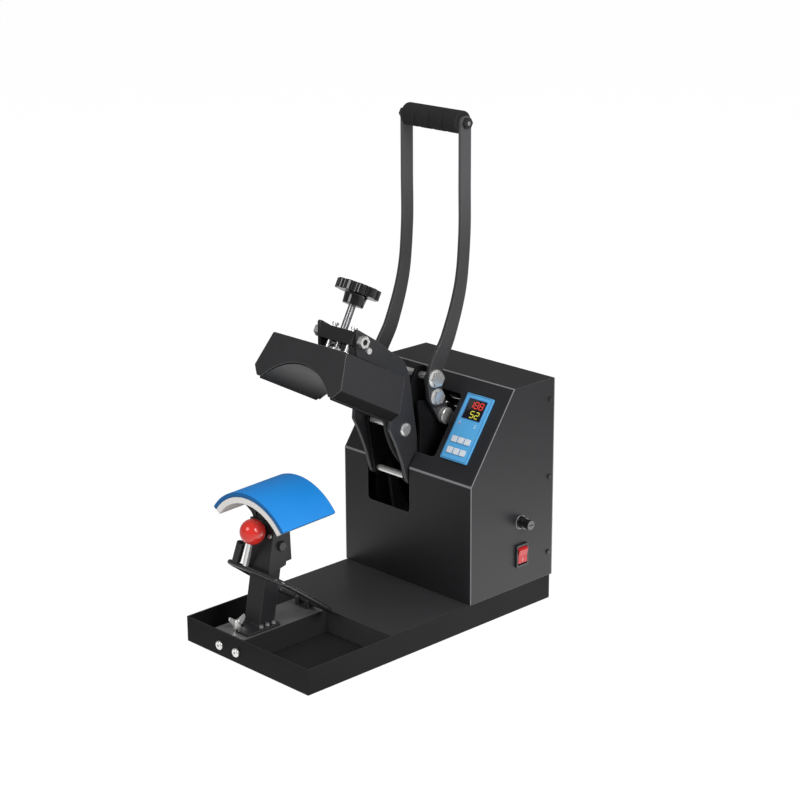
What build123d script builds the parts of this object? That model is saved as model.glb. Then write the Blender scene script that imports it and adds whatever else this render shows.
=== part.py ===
from build123d import *
import os
from math import asin, atan2, cos, degrees, hypot, pi, radians, sin, sqrt, tan

# Cap heat press, millimetres. +X is the operator's right, +Y the back and +Z up.
# The origin is the centre of the base's underside.

os.makedirs("parts", exist_ok=True)


def save(build, label):
    """Label a finished piece and write its STEP file."""
    build.part.label = label
    export_step(build.part, f"parts/{label}.step")


# ---------------------------------------------------------------- driving dimensions
CLEAR = 0.3              # seat clearance between pieces that only touch
RUNNING = 0.05           # radial clearance of a shaft in its hole

BASE_W = 240.0
BASE_L = 450.0
BASE_H = 35.0
TRAY_SHEET = 2.0
PAD_FOOT_R = 12.0        # rubber pads pressed into the tray floor
PAD_FOOT_INSET = 28.0
PAD_FLANGE = 3.0

MECH_X = -35.0           # centre plane of rail, post, head and arm
RAIL_W = 58.0
RAIL_SHEET = 3.0
RAIL_BOLT_PITCH = 33.0
RAIL_BOLT_Z = 15.0
DECK_FRONT_Y = -78.0
DECK_LIP = 22.0

HOUSE_OVER = 2.0         # the cover stands this far outside the base
HOUSE_FRONT_Y = 65.0
HOUSE_BREAK_Z = 202.0
HOUSE_TOP_Y = 147.0
HOUSE_TOP_Z = 320.0
HOUSE_SHEET = 1.6
HOUSE_FLANGE = 12.0
HOUSE_CORNER = 2.5
SLOT_W = 82.0
SLOT_Z = 137.0
SLOT_R = 6.0
MOUTH_W = 150.0
MOUTH_START = 24.0       # along the slope from the break
MOUTH_END = 118.0
NOTCH_W = 70.0           # clears the drive plates above the mouth
NOTCH_END = 128.0
BACK_SHEET = 1.5
BACK_FLANGE = 14.0
LOUVRE_COUNT = 7

ARM_T = 5.0              # side plates of the arm
ARM_HALF = 35.0          # centre plane of each side plate from MECH_X
DRIVE_T = 4.0            # slotted drive plates inside the arm
DRIVE_HALF = 29.0
FRAME_T = 4.5
FRAME_HALF = 42.25
LEVER_T = 5.0
LEVER_HALF = 49.5
BAR_T = 5.0
BAR_W = 22.0
BAR_HALF = 54.5

HEAD_TILT = 28.2         # front of the open head tips up
HEAD_FRONT = (-74.0, 398.7)   # front edge of the head's top, in Y and Z
HEAD_DEPTH = 117.3
HEAD_TOP_W = 140.8
HEAD_SHOULDER_W = 167.6
HEAD_SHOULDER_H = 48.5
HEAD_BOTTOM_W = 146.8
HEAD_H = 61.0
HEAD_SHEET = 1.6
ARCH_R = 84.0
ARCH_CREST = 30.0        # crest of the arch below the head's top
PLATEN_CREST = 31.5      # crest of the hot surface below the head's top
PLATEN_T = 9.0
PLATEN_SPREAD = 50.5     # half angle of the hot platen
PLATEN_MARGIN = 6.0
MOUNT_PLATE_T = 4.0

PAD_R = 87.0             # outer radius of the silicone pad
PAD_T = 6.0
PAD_CHORD = 69.5
PAD_TIP_Z = 185.5        # pad tips at mid length
PAD_MID_Y = -138.6
PAD_L = 91.0
PAD_TILT = 2.5           # back of the pad is higher
LOWER_T = 8.0
LOWER_SPREAD = 49.5
LEG_T = 6.0
PRESS_GAP = 1.5          # left over the pad when the screw is fully down
SCREW_TRAVEL = 3.0

POST_W = 30.0
POST_D = 25.0
POST_WALL = 2.5
POST_LEAN = 10.5
POST_FOOT_Y = -171.2     # centre of the post where it meets its foot plate
FOOT_T = 3.0
FOOT_W = 52.0
FOOT_FRONT_Y = -213.0
FOOT_REAR_Y = -156.0
FOOT_FRONT_INSET = 12.0  # front of the tray to the front of the foot plate
FOOT_CORNER = 3.0
FOOT_NOTCH = (27.0, 18.0)  # cut from the front left corner, for the wing screw
WING_INSET = 10.2        # front of the foot plate to the wing screw

LEVER_PIVOT = (120.2, 267.1)
TOGGLE = (98.2, 324.2)
LOWER_BOLT = (101.0, 298.3)
HANDLE_SWING = 78.0
GRIP_Y = 156.5
GRIP_Z = 661.0
GRIP_R = 15.5
GRIP_BOLT_R = 4.0

SHAFT_R = 6.0
TOGGLE_R = 5.0
LEVER_BOLT_R = 5.0

SCREW_ALONG = 51.0       # pressure screw from the head's front edge
BLOCK_H = 23.4           # centre of the cross block above the head's top
BLOCK_DEPTH = 22.0
BLOCK_TALL = 18.0
SCREW_R = 5.0
KNOB_R = 30.5
KNOB_HUB_R = 14.2
KNOB_BASE_H = 66.0
KNOB_HUB_H = 18.5
KNOB_RIM_H = 10.5
KNOB_LOBES = 10
GUIDE_R = 3.0
GUIDE_PITCH = 36.0

BAIL_R = 3.5
BAIL_PIVOT = (-91.0, 43.5)
BAIL_FRONT = (-179.0, 110.0)
BAIL_HALF = 54.5
BALL_R = 17.0
BALL_CENTRE = (-30.8, -182.0, 166.7)
STEM_R = 4.0

PANEL_SIDE = 47.0        # side of the housing to the controller centre
PANEL_V = 74.5           # front of the slope to the controller centre
PANEL_W = 48.0
PANEL_L = 95.0
PANEL_T = 3.0
CASE_MARGIN = 2.0
CASE_DEPTH = 45.0
KEY_W = 9.4
KEY_L = 8.6
KEY_RISE = 1.2
KEY_TRAVEL = 0.8

ROCKER_INSET = 63.5      # back of the housing to the rocker
ROCKER_Z = 81.0
ROCKER_W = 23.0
ROCKER_L = 32.0
FUSE_INSET = 65.0        # back of the housing to the fuse
FUSE_Z = 129.0

# ---------------------------------------------------------------- derived frames
HALF_W = BASE_W / 2
FRONT_Y = FOOT_FRONT_Y - FOOT_FRONT_INSET
REAR_Y = FRONT_Y + BASE_L
MID_Y = (FRONT_Y + REAR_Y) / 2
HOUSE_HALF = HALF_W + HOUSE_OVER
HOUSE_REAR_Y = REAR_Y + HOUSE_OVER
PANEL_X = HOUSE_HALF - PANEL_SIDE
ROCKER_Y = HOUSE_REAR_Y - ROCKER_INSET
FUSE_Y = HOUSE_REAR_Y - FUSE_INSET
TRAY_TOP = BASE_H
SLOPE_RISE = HOUSE_TOP_Z - HOUSE_BREAK_Z
SLOPE_RUN = HOUSE_TOP_Y - HOUSE_FRONT_Y
SLOPE_L = hypot(SLOPE_RISE, SLOPE_RUN)
SLOPE_UP = (SLOPE_RUN / SLOPE_L, SLOPE_RISE / SLOPE_L)
SLOPE = Plane(
    origin=(0, HOUSE_FRONT_Y, HOUSE_BREAK_Z),
    x_dir=(1, 0, 0),
    z_dir=(0, -SLOPE_UP[1], SLOPE_UP[0]),
)

HEAD_BACK = (cos(radians(HEAD_TILT)), -sin(radians(HEAD_TILT)))
HEAD_UP = (sin(radians(HEAD_TILT)), cos(radians(HEAD_TILT)))


def head_point(along, height):
    """Y and Z of a point given from the front edge of the head's top."""
    y = HEAD_FRONT[0] + along * HEAD_BACK[0] + height * HEAD_UP[0]
    z = HEAD_FRONT[1] + along * HEAD_BACK[1] + height * HEAD_UP[1]
    return (y, z)


def head_deck(along, height):
    """Plane parallel to the head's top, centred on the mechanism."""
    y, z = head_point(along, height)
    return Plane(origin=(MECH_X, y, z), x_dir=(1, 0, 0), z_dir=(0, HEAD_UP[0], HEAD_UP[1]))


def head_section(along):
    """Cross-section plane of the head: X to the right, Y up, looking from the front."""
    y, z = head_point(along, 0)
    return Plane(origin=(MECH_X, y, z), x_dir=(1, 0, 0), z_dir=(0, -HEAD_BACK[0], -HEAD_BACK[1]))


def turned(point, centre, angle):
    """Turn a Y, Z point about a centre; a positive angle carries the top forward."""
    a = radians(angle)
    dy = point[0] - centre[0]
    dz = point[1] - centre[1]
    return (centre[0] + dy * cos(a) - dz * sin(a), centre[1] + dy * sin(a) + dz * cos(a))


# The hot platen and the pad share one centre line when the head is shut and the
# pressure screw is fully down. The arm's pivot is the centre of that turn.
PLATEN_R = PAD_R + PRESS_GAP
PLATEN_CENTRE_DROP = PLATEN_CREST + PLATEN_R
PAD_CENTRE_Z = PAD_TIP_Z - sqrt(PAD_R ** 2 - PAD_CHORD ** 2)
ARM_SWING = HEAD_TILT + PAD_TILT
OPEN_CENTRE = head_point(HEAD_DEPTH / 2, -PLATEN_CENTRE_DROP)
SHUT_CENTRE = (
    PAD_MID_Y - SCREW_TRAVEL * sin(radians(PAD_TILT)),
    PAD_CENTRE_Z + SCREW_TRAVEL * cos(radians(PAD_TILT)),
)


def turn_centre(start, end, angle):
    """Centre about which a turn by angle carries start to end."""
    mid_y = (start[0] + end[0]) / 2
    mid_z = (start[1] + end[1]) / 2
    reach = 1 / (2 * tan(radians(angle) / 2))
    return (mid_y - (end[1] - start[1]) * reach, mid_z + (end[0] - start[0]) * reach)


ARM_PIVOT = turn_centre(OPEN_CENTRE, SHUT_CENTRE, ARM_SWING)
RATIO = ARM_SWING / HANDLE_SWING


def side_plane(offset):
    """Plane facing +X at a distance from the mechanism's centre plane."""
    return Plane.YZ.offset(MECH_X + offset)


def bolt_seat(side, face, spot):
    """Plane that faces outwards, just clear of a plate's outer face, centred on spot."""
    x = MECH_X + side * (face + CLEAR)
    return Plane(origin=(x, spot[0], spot[1]), x_dir=(0, 1, 0), z_dir=(side, 0, 0))


# ---------------------------------------------------------------- base
FLOOR_IN_W = BASE_W - 2 * TRAY_SHEET
FLOOR_IN_L = BASE_L - 2 * TRAY_SHEET
PAD_SPOTS = [
    (side * (HALF_W - PAD_FOOT_INSET), pad_y)
    for side in (-1, 1)
    for pad_y in (FRONT_Y + PAD_FOOT_INSET, REAR_Y - PAD_FOOT_INSET)
]
RAIL_BOLT_HOLE_R = 3.3
RAIL_BOLTS_X = [MECH_X - RAIL_BOLT_PITCH / 2, MECH_X + RAIL_BOLT_PITCH / 2]

with BuildPart() as base_tray:
    with BuildSketch(Plane.XY):
        with Locations((0, MID_Y)):
            Rectangle(BASE_W, BASE_L)
    extrude(amount=TRAY_TOP)
    with BuildSketch(Plane.XY.offset(TRAY_SHEET)):
        with Locations((0, MID_Y)):
            Rectangle(FLOOR_IN_W, FLOOR_IN_L)
    extrude(amount=TRAY_TOP, mode=Mode.SUBTRACT)
    fillet(base_tray.edges().filter_by(Axis.Z).group_by(Axis.X)[0], TRAY_SHEET / 2)
    fillet(base_tray.edges().filter_by(Axis.Z).group_by(Axis.X)[-1], TRAY_SHEET / 2)
    with BuildSketch(Plane.XY):
        with Locations(*PAD_SPOTS):
            Circle(PAD_FOOT_R + CLEAR)
    extrude(amount=TRAY_SHEET, mode=Mode.SUBTRACT)
    with BuildSketch(Plane.XZ.offset(-FRONT_Y)):
        with Locations(*[(x, RAIL_BOLT_Z) for x in RAIL_BOLTS_X]):
            Circle(RAIL_BOLT_HOLE_R)
    extrude(amount=-TRAY_SHEET, mode=Mode.SUBTRACT)
save(base_tray, "base_tray")

with BuildPart() as rubber_pads:
    with BuildSketch(Plane.XY):
        with Locations(*PAD_SPOTS):
            Circle(PAD_FOOT_R)
    extrude(amount=TRAY_SHEET + CLEAR + PAD_FLANGE)
    with BuildSketch(Plane.XY.offset(TRAY_SHEET + CLEAR)):
        with Locations(*PAD_SPOTS):
            Circle(PAD_FOOT_R + PAD_FLANGE)
    extrude(amount=PAD_FLANGE)
save(rubber_pads, "rubber_pads")

DECK_SIDE_GAP = CLEAR
DECK_W = FLOOR_IN_W - 2 * DECK_SIDE_GAP
DECK_REAR_Y = REAR_Y - TRAY_SHEET - DECK_SIDE_GAP
DECK_L = DECK_REAR_Y - DECK_FRONT_Y
DECK_LIP_Z = TRAY_SHEET + CLEAR
DECK_Z = TRAY_TOP - TRAY_SHEET

with BuildPart() as deck_plate:
    with BuildSketch(Plane.XY.offset(DECK_Z)):
        with Locations((0, DECK_FRONT_Y + DECK_L / 2)):
            Rectangle(DECK_W, DECK_L)
    extrude(amount=TRAY_SHEET)
    with BuildSketch(Plane.XY.offset(DECK_LIP_Z)):
        with Locations(
            (0, DECK_FRONT_Y + TRAY_SHEET / 2),
            (0, DECK_REAR_Y - TRAY_SHEET / 2),
        ):
            Rectangle(DECK_W, TRAY_SHEET)
    extrude(amount=DECK_Z - DECK_LIP_Z)
save(deck_plate, "deck_plate")

# The rail is an upturned channel from the front wall to the deck's front lip.
RAIL_FRONT_Y = FRONT_Y + TRAY_SHEET + CLEAR
RAIL_REAR_Y = DECK_FRONT_Y - CLEAR
RAIL_L = RAIL_REAR_Y - RAIL_FRONT_Y
RAIL_MID_Y = (RAIL_REAR_Y + RAIL_FRONT_Y) / 2
RAIL_BOTTOM = TRAY_SHEET + CLEAR
LUG_T = 4.0
LUG_HALF = 10.0
LUG_R = 7.0
WING_Y = FOOT_FRONT_Y + WING_INSET
WING_X = MECH_X - 7.4
WING_SHANK_R = 3.0
FOOT_BOLT_R = 2.5
FOOT_BOLT_X = POST_W / 2 + 5.0
FOOT_BOLT_PITCH = 10.5
FOOT_BOLT_MID_Y = POST_FOOT_Y - 3.3
FOOT_BOLT_SPOTS = [
    (MECH_X + side * FOOT_BOLT_X, FOOT_BOLT_MID_Y + step * FOOT_BOLT_PITCH)
    for side in (-1, 1)
    for step in (-1, 0, 1)
]

with BuildPart() as centre_rail:
    with BuildSketch(Plane.XY.offset(RAIL_BOTTOM)):
        with Locations((MECH_X, RAIL_MID_Y)):
            Rectangle(RAIL_W, RAIL_L)
    extrude(amount=TRAY_TOP - RAIL_BOTTOM)
    with BuildSketch(Plane.XY.offset(RAIL_BOTTOM)):
        with Locations((MECH_X, RAIL_MID_Y + RAIL_SHEET)):
            Rectangle(RAIL_W - 2 * RAIL_SHEET, RAIL_L)
    extrude(amount=TRAY_TOP - RAIL_BOTTOM - RAIL_SHEET, mode=Mode.SUBTRACT)
    with BuildSketch(Plane.XZ.offset(-RAIL_FRONT_Y)):
        with Locations(*[(x, RAIL_BOLT_Z) for x in RAIL_BOLTS_X]):
            Circle(RAIL_BOLT_HOLE_R)
    extrude(amount=-RAIL_SHEET, mode=Mode.SUBTRACT)
    with BuildSketch(Plane.XY.offset(TRAY_TOP)):
        with Locations((WING_X, WING_Y)):
            Circle(WING_SHANK_R + CLEAR)
        with Locations(*FOOT_BOLT_SPOTS):
            Circle(FOOT_BOLT_R + CLEAR)
    extrude(amount=-RAIL_SHEET, mode=Mode.SUBTRACT)
    for side in (-1, 1):
        with BuildSketch(side_plane(side * LUG_HALF - LUG_T / 2)):
            with Locations(BAIL_PIVOT):
                Circle(LUG_R)
            with Locations((BAIL_PIVOT[0], (BAIL_PIVOT[1] + TRAY_TOP) / 2 - LUG_R / 8)):
                Rectangle(2 * LUG_R, BAIL_PIVOT[1] - TRAY_TOP + LUG_R / 4)
            with Locations(BAIL_PIVOT):
                Circle(BAIL_R + RUNNING, mode=Mode.SUBTRACT)
        extrude(amount=LUG_T)
save(centre_rail, "centre_rail")

# Dome-head screws through the front wall into the rail, with nuts behind.
RAIL_HEAD_R = 6.2
RAIL_HEAD_H = 3.4
NUT_R = 5.6
NUT_H = 4.5
RAIL_BOLT_END_Y = RAIL_FRONT_Y + RAIL_SHEET + CLEAR + NUT_H + 2.0

with BuildPart() as rail_bolts:
    for x in RAIL_BOLTS_X:
        with BuildSketch(Plane.XZ.offset(-(FRONT_Y - CLEAR))):
            with Locations((x, RAIL_BOLT_Z)):
                Circle(RAIL_HEAD_R)
        extrude(amount=RAIL_HEAD_H)
        with BuildSketch(Plane.XZ.offset(-RAIL_BOLT_END_Y)):
            with Locations((x, RAIL_BOLT_Z)):
                Circle(RAIL_BOLT_HOLE_R - CLEAR)
        extrude(amount=RAIL_BOLT_END_Y - FRONT_Y + CLEAR)
        with BuildSketch(Plane.XZ.offset(-(RAIL_FRONT_Y + RAIL_SHEET + CLEAR))):
            with Locations((x, RAIL_BOLT_Z)):
                RegularPolygon(NUT_R, 6)
        extrude(amount=-NUT_H)
    fillet(rail_bolts.faces().sort_by(Axis.Y)[:2].edges(), RAIL_HEAD_H * 0.6)
save(rail_bolts, "rail_bolts")

# ---------------------------------------------------------------- housing
PANEL_HALF = (PANEL_W / 2 - CASE_MARGIN, PANEL_L / 2 - CASE_MARGIN)
FUSE_BARREL_R = 6.0
ROCKER_BODY = (ROCKER_W - 3.0, ROCKER_L - 4.0)
COVER_SCREW_R = 2.0
COVER_SCREW_ZS = [70.0, 180.0, 290.0]
COVER_SCREW_Y = HOUSE_REAR_Y - BACK_SHEET - BACK_FLANGE / 2
INNER_BREAK = HOUSE_SHEET * tan((pi / 2 - atan2(SLOPE_RISE, SLOPE_RUN)) / 2)
INNER_TOP = HOUSE_SHEET * tan(atan2(SLOPE_RISE, SLOPE_RUN) / 2)
HOUSE_Z = TRAY_TOP + CLEAR

with BuildPart() as housing_cover:
    with BuildSketch(Plane.YZ.offset(-HOUSE_HALF)):
        with BuildLine():
            Polyline(
                (HOUSE_FRONT_Y, HOUSE_Z),
                (HOUSE_FRONT_Y, HOUSE_BREAK_Z),
                (HOUSE_TOP_Y, HOUSE_TOP_Z),
                (HOUSE_REAR_Y, HOUSE_TOP_Z),
                (HOUSE_REAR_Y, HOUSE_Z),
                close=True,
            )
        make_face()
    extrude(amount=2 * HOUSE_HALF)
    long_edges = housing_cover.edges().filter_by(Axis.X)
    fillet(long_edges.filter_by(lambda e: e.center().Z > SLOT_Z), HOUSE_CORNER)
    with BuildSketch(Plane.YZ.offset(-HOUSE_HALF + HOUSE_SHEET)):
        with BuildLine():
            Polyline(
                (HOUSE_FRONT_Y + HOUSE_SHEET, HOUSE_Z + HOUSE_SHEET),
                (HOUSE_FRONT_Y + HOUSE_SHEET, HOUSE_BREAK_Z - INNER_BREAK),
                (HOUSE_TOP_Y + INNER_TOP, HOUSE_TOP_Z - HOUSE_SHEET),
                (HOUSE_REAR_Y, HOUSE_TOP_Z - HOUSE_SHEET),
                (HOUSE_REAR_Y, HOUSE_Z + HOUSE_SHEET),
                close=True,
            )
        make_face()
    extrude(amount=2 * (HOUSE_HALF - HOUSE_SHEET), mode=Mode.SUBTRACT)
    inner_front = HOUSE_FRONT_Y + HOUSE_FLANGE
    with BuildSketch(Plane.XY.offset(HOUSE_Z)):
        with Locations((0, (inner_front + HOUSE_REAR_Y) / 2)):
            Rectangle(2 * (HOUSE_HALF - HOUSE_FLANGE), HOUSE_REAR_Y - inner_front)
    extrude(amount=HOUSE_SHEET, mode=Mode.SUBTRACT)
    with BuildSketch(Plane.XZ.offset(-HOUSE_FRONT_Y)):
        with Locations((MECH_X, (SLOT_Z + HOUSE_TOP_Z) / 2)):
            RectangleRounded(SLOT_W, HOUSE_TOP_Z - SLOT_Z, SLOT_R)
    extrude(amount=-2 * HOUSE_SHEET, mode=Mode.SUBTRACT)
    with BuildSketch(SLOPE):
        with Locations((MECH_X, (MOUTH_START + MOUTH_END) / 2)):
            RectangleRounded(MOUTH_W, MOUTH_END - MOUTH_START, SLOT_R)
        with Locations((MECH_X, MOUTH_START / 2)):
            Rectangle(SLOT_W, 2 * MOUTH_START)
        with Locations((MECH_X, MOUTH_END - SLOT_R / 2)):
            Rectangle(NOTCH_W, 2 * (NOTCH_END - MOUTH_END) + SLOT_R)
        with Locations((PANEL_X, PANEL_V)):
            Rectangle(2 * (PANEL_HALF[0] + CLEAR), 2 * (PANEL_HALF[1] + CLEAR))
    extrude(amount=-3 * HOUSE_SHEET, mode=Mode.SUBTRACT)
    with BuildSketch(Plane.YZ.offset(HOUSE_HALF - 2 * HOUSE_SHEET)):
        with Locations((FUSE_Y, FUSE_Z)):
            Circle(FUSE_BARREL_R + CLEAR)
        with Locations((ROCKER_Y, ROCKER_Z)):
            Rectangle(ROCKER_BODY[0] + 2 * CLEAR, ROCKER_BODY[1] + 2 * CLEAR)
    extrude(amount=3 * HOUSE_SHEET, mode=Mode.SUBTRACT)
    with BuildSketch(Plane.YZ.offset(-HOUSE_HALF - HOUSE_SHEET)):
        with Locations(*[(COVER_SCREW_Y, z) for z in COVER_SCREW_ZS]):
            Circle(COVER_SCREW_R + CLEAR)
    extrude(amount=2 * HOUSE_HALF + 2 * HOUSE_SHEET, mode=Mode.SUBTRACT)
save(housing_cover, "housing_cover")

# Back panel with turned side flanges, louvre slots and the mains gland hole.
BACK_HALF = HOUSE_HALF - HOUSE_SHEET - CLEAR
BACK_Z0 = HOUSE_Z + HOUSE_SHEET + CLEAR
BACK_Z1 = HOUSE_TOP_Z - HOUSE_SHEET - CLEAR
GLAND_EDGE = 52.0
GLAND_X = HOUSE_HALF - GLAND_EDGE
GLAND_Z = 70.0
GLAND_R = 7.5
LOUVRE_W = 70.0
LOUVRE_H = 4.0
LOUVRE_PITCH = 12.0
LOUVRE_Z = 215.0

with BuildPart() as back_panel:
    with BuildSketch(Plane.XZ.offset(-HOUSE_REAR_Y)):
        with Locations((0, (BACK_Z0 + BACK_Z1) / 2)):
            Rectangle(2 * BACK_HALF, BACK_Z1 - BACK_Z0)
    extrude(amount=BACK_SHEET)
    for side in (-1, 1):
        with BuildSketch(Plane.XZ.offset(-HOUSE_REAR_Y + BACK_SHEET)):
            with Locations((side * (BACK_HALF - BACK_SHEET / 2), (BACK_Z0 + BACK_Z1) / 2)):
                Rectangle(BACK_SHEET, BACK_Z1 - BACK_Z0)
        extrude(amount=BACK_FLANGE)
    with BuildSketch(Plane.XZ.offset(-HOUSE_REAR_Y)):
        with Locations((0, LOUVRE_Z)):
            with GridLocations(LOUVRE_W * 1.4, LOUVRE_PITCH, 2, LOUVRE_COUNT):
                SlotOverall(LOUVRE_W, LOUVRE_H)
        with Locations((GLAND_X, GLAND_Z)):
            Circle(GLAND_R + CLEAR)
    extrude(amount=BACK_SHEET, mode=Mode.SUBTRACT)
    with BuildSketch(Plane.YZ.offset(-HOUSE_HALF)):
        with Locations(*[(COVER_SCREW_Y, z) for z in COVER_SCREW_ZS]):
            Circle(COVER_SCREW_R + CLEAR)
    extrude(amount=2 * HOUSE_HALF, mode=Mode.SUBTRACT)
save(back_panel, "back_panel")

COVER_HEAD_R = 3.8
COVER_HEAD_H = 1.8
COVER_SCREW_L = 9.0

with BuildPart() as cover_screws:
    for side in (-1, 1):
        seat = Plane(
            origin=(side * (HOUSE_HALF + CLEAR), 0, 0),
            x_dir=(0, 1, 0),
            z_dir=(side, 0, 0),
        )
        spots = [(COVER_SCREW_Y, side * z) for z in COVER_SCREW_ZS]
        with BuildSketch(seat):
            with Locations(*spots):
                Circle(COVER_HEAD_R)
        extrude(amount=COVER_HEAD_H, taper=20)
        with BuildSketch(seat):
            with Locations(*spots):
                Circle(COVER_SCREW_R)
        extrude(amount=-COVER_SCREW_L)
save(cover_screws, "cover_screws")

GLAND_HEX_R = 12.0
GLAND_BACK = 8.0
GLAND_OUT = 14.0
GLAND_BORE_R = 4.0

with BuildPart() as mains_gland:
    with BuildSketch(Plane.XZ.offset(-HOUSE_REAR_Y - CLEAR)):
        with Locations((GLAND_X, GLAND_Z)):
            RegularPolygon(GLAND_HEX_R, 6)
    extrude(amount=-GLAND_OUT / 2)
    with BuildSketch(Plane.XZ.offset(-HOUSE_REAR_Y + BACK_SHEET + GLAND_BACK)):
        with Locations((GLAND_X, GLAND_Z)):
            Circle(GLAND_R)
    extrude(amount=-(GLAND_OUT + BACK_SHEET + GLAND_BACK))
    with BuildSketch(Plane.XZ.offset(-HOUSE_REAR_Y + BACK_SHEET + CLEAR)):
        with Locations((GLAND_X, GLAND_Z)):
            RegularPolygon(GLAND_HEX_R, 6)
    extrude(amount=GLAND_BACK / 2)
    with BuildSketch(Plane.XZ.offset(-HOUSE_REAR_Y + BACK_SHEET + GLAND_BACK)):
        with Locations((GLAND_X, GLAND_Z)):
            Circle(GLAND_BORE_R)
    extrude(amount=-(GLAND_OUT + BACK_SHEET + GLAND_BACK), mode=Mode.SUBTRACT)
save(mains_gland, "mains_gland")

TERMINAL = (60.0, 22.0, 18.0)
TERMINAL_EDGE = 62.0
TERMINAL_INSET = 37.0
TERMINAL_AT = (HOUSE_HALF - TERMINAL_EDGE, HOUSE_REAR_Y - TERMINAL_INSET)
TERMINAL_WAYS = 5
TERMINAL_SCREW_R = 3.0

with BuildPart() as terminal_block:
    with BuildSketch(Plane.XY.offset(TRAY_TOP + CLEAR)):
        with Locations(TERMINAL_AT):
            Rectangle(TERMINAL[0], TERMINAL[1])
    extrude(amount=TERMINAL[2])
    with BuildSketch(Plane.XY.offset(TRAY_TOP + CLEAR + TERMINAL[2])):
        with Locations(TERMINAL_AT):
            with GridLocations(TERMINAL[0] / TERMINAL_WAYS, 1, TERMINAL_WAYS, 1):
                Circle(TERMINAL_SCREW_R)
    extrude(amount=-TERMINAL[2] / 2, mode=Mode.SUBTRACT)
save(terminal_block, "terminal_block")

# ---------------------------------------------------------------- inner frame
FRAME_BOTTOM = TRAY_TOP + CLEAR
FRAME_FOOT = 16.0
FRAME_FOOT_T = 4.0
FRAME_FRONT_Y = 83.0
FRAME_KNEE_Z = 262.0
FRAME_NOSE = (78.0, 295.0)
FRAME_CROWN = (4.0, 16.0)       # crown, brow and hip are measured from the two pivots
FRAME_BROW = (22.0, -4.0)
FRAME_HIP = (34.0, 30.0)
FRAME_HEEL = 44.0
FRAME_OUTLINE = [
    (FRAME_FRONT_Y, FRAME_BOTTOM),
    (FRAME_FRONT_Y, FRAME_KNEE_Z),
    FRAME_NOSE,
    (LEVER_PIVOT[0] + FRAME_CROWN[0], LEVER_PIVOT[1] + FRAME_CROWN[1]),
    (LEVER_PIVOT[0] + FRAME_BROW[0], LEVER_PIVOT[1] + FRAME_BROW[1]),
    (ARM_PIVOT[0] + FRAME_HIP[0], ARM_PIVOT[1] + FRAME_HIP[1]),
    (ARM_PIVOT[0] + FRAME_HEEL, FRAME_BOTTOM),
]
FRAME_CORNER = 5.0

with BuildPart() as frame_plates:
    for side in (-1, 1):
        with BuildSketch(side_plane(side * FRAME_HALF - FRAME_T / 2)) as frame_face:
            with BuildLine():
                Polyline(*FRAME_OUTLINE, close=True)
            make_face()
            fillet(frame_face.vertices().sort_by(Axis.Y)[2:], FRAME_CORNER)
            with Locations(ARM_PIVOT):
                Circle(SHAFT_R + RUNNING, mode=Mode.SUBTRACT)
            with Locations(LEVER_PIVOT):
                Circle(LEVER_BOLT_R + RUNNING, mode=Mode.SUBTRACT)
        extrude(amount=FRAME_T)
        foot_mid = (FRAME_OUTLINE[0][0] + FRAME_OUTLINE[-1][0]) / 2
        with BuildSketch(Plane.XY.offset(FRAME_BOTTOM)):
            with Locations((MECH_X + side * (FRAME_HALF + FRAME_FOOT / 2), foot_mid)):
                Rectangle(FRAME_FOOT, FRAME_OUTLINE[-1][0] - FRAME_OUTLINE[0][0])
        extrude(amount=FRAME_FOOT_T)
save(frame_plates, "frame_plates")

SHAFT_HALF = FRAME_HALF + FRAME_T / 2
SHAFT_HEAD_R = 9.0
SHAFT_HEAD_H = 6.0

with BuildPart() as arm_pivot_shaft:
    with BuildSketch(side_plane(-SHAFT_HALF - CLEAR)):
        with Locations(ARM_PIVOT):
            Circle(SHAFT_R)
    extrude(amount=2 * (SHAFT_HALF + CLEAR))
    for side in (-1, 1):
        low = side * (SHAFT_HALF + CLEAR + SHAFT_HEAD_H / 2) - SHAFT_HEAD_H / 2
        with BuildSketch(side_plane(low)):
            with Locations(ARM_PIVOT):
                RegularPolygon(SHAFT_HEAD_R, 6)
        extrude(amount=SHAFT_HEAD_H)
save(arm_pivot_shaft, "arm_pivot_shaft")

LEVER_OUT = LEVER_HALF + LEVER_T / 2
FRAME_IN = FRAME_HALF - FRAME_T / 2
PIVOT_HEAD_R = 11.5
PIVOT_HEAD_H = 8.0
PIVOT_NUT_H = 1.8
PIVOT_COLLAR_R = 8.0

with BuildPart() as lever_pivot_bolts:
    for side in (-1, 1):
        face = Plane(
            origin=(MECH_X, LEVER_PIVOT[0], LEVER_PIVOT[1]),
            x_dir=(0, 1, 0),
            z_dir=(side, 0, 0),
        )
        with BuildSketch(face.offset(FRAME_IN - CLEAR - PIVOT_NUT_H)):
            Circle(LEVER_BOLT_R + 2.0)
        extrude(amount=PIVOT_NUT_H)
        with BuildSketch(face.offset(FRAME_IN - CLEAR)):
            Circle(LEVER_BOLT_R)
        extrude(amount=LEVER_OUT - FRAME_IN + 2 * CLEAR)
        with BuildSketch(face.offset(LEVER_OUT + CLEAR)):
            Circle(PIVOT_HEAD_R)
        extrude(amount=PIVOT_HEAD_H)
        with BuildSketch(face.offset(FRAME_HALF + FRAME_T / 2 + CLEAR)):
            Circle(PIVOT_COLLAR_R)
        extrude(amount=LEVER_OUT - LEVER_T - FRAME_HALF - FRAME_T / 2 - 2 * CLEAR)
    fillet(lever_pivot_bolts.faces().sort_by(Axis.X)[-1].edges(), 1.5)
    fillet(lever_pivot_bolts.faces().sort_by(Axis.X)[0].edges(), 1.5)
save(lever_pivot_bolts, "lever_pivot_bolts")

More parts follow.
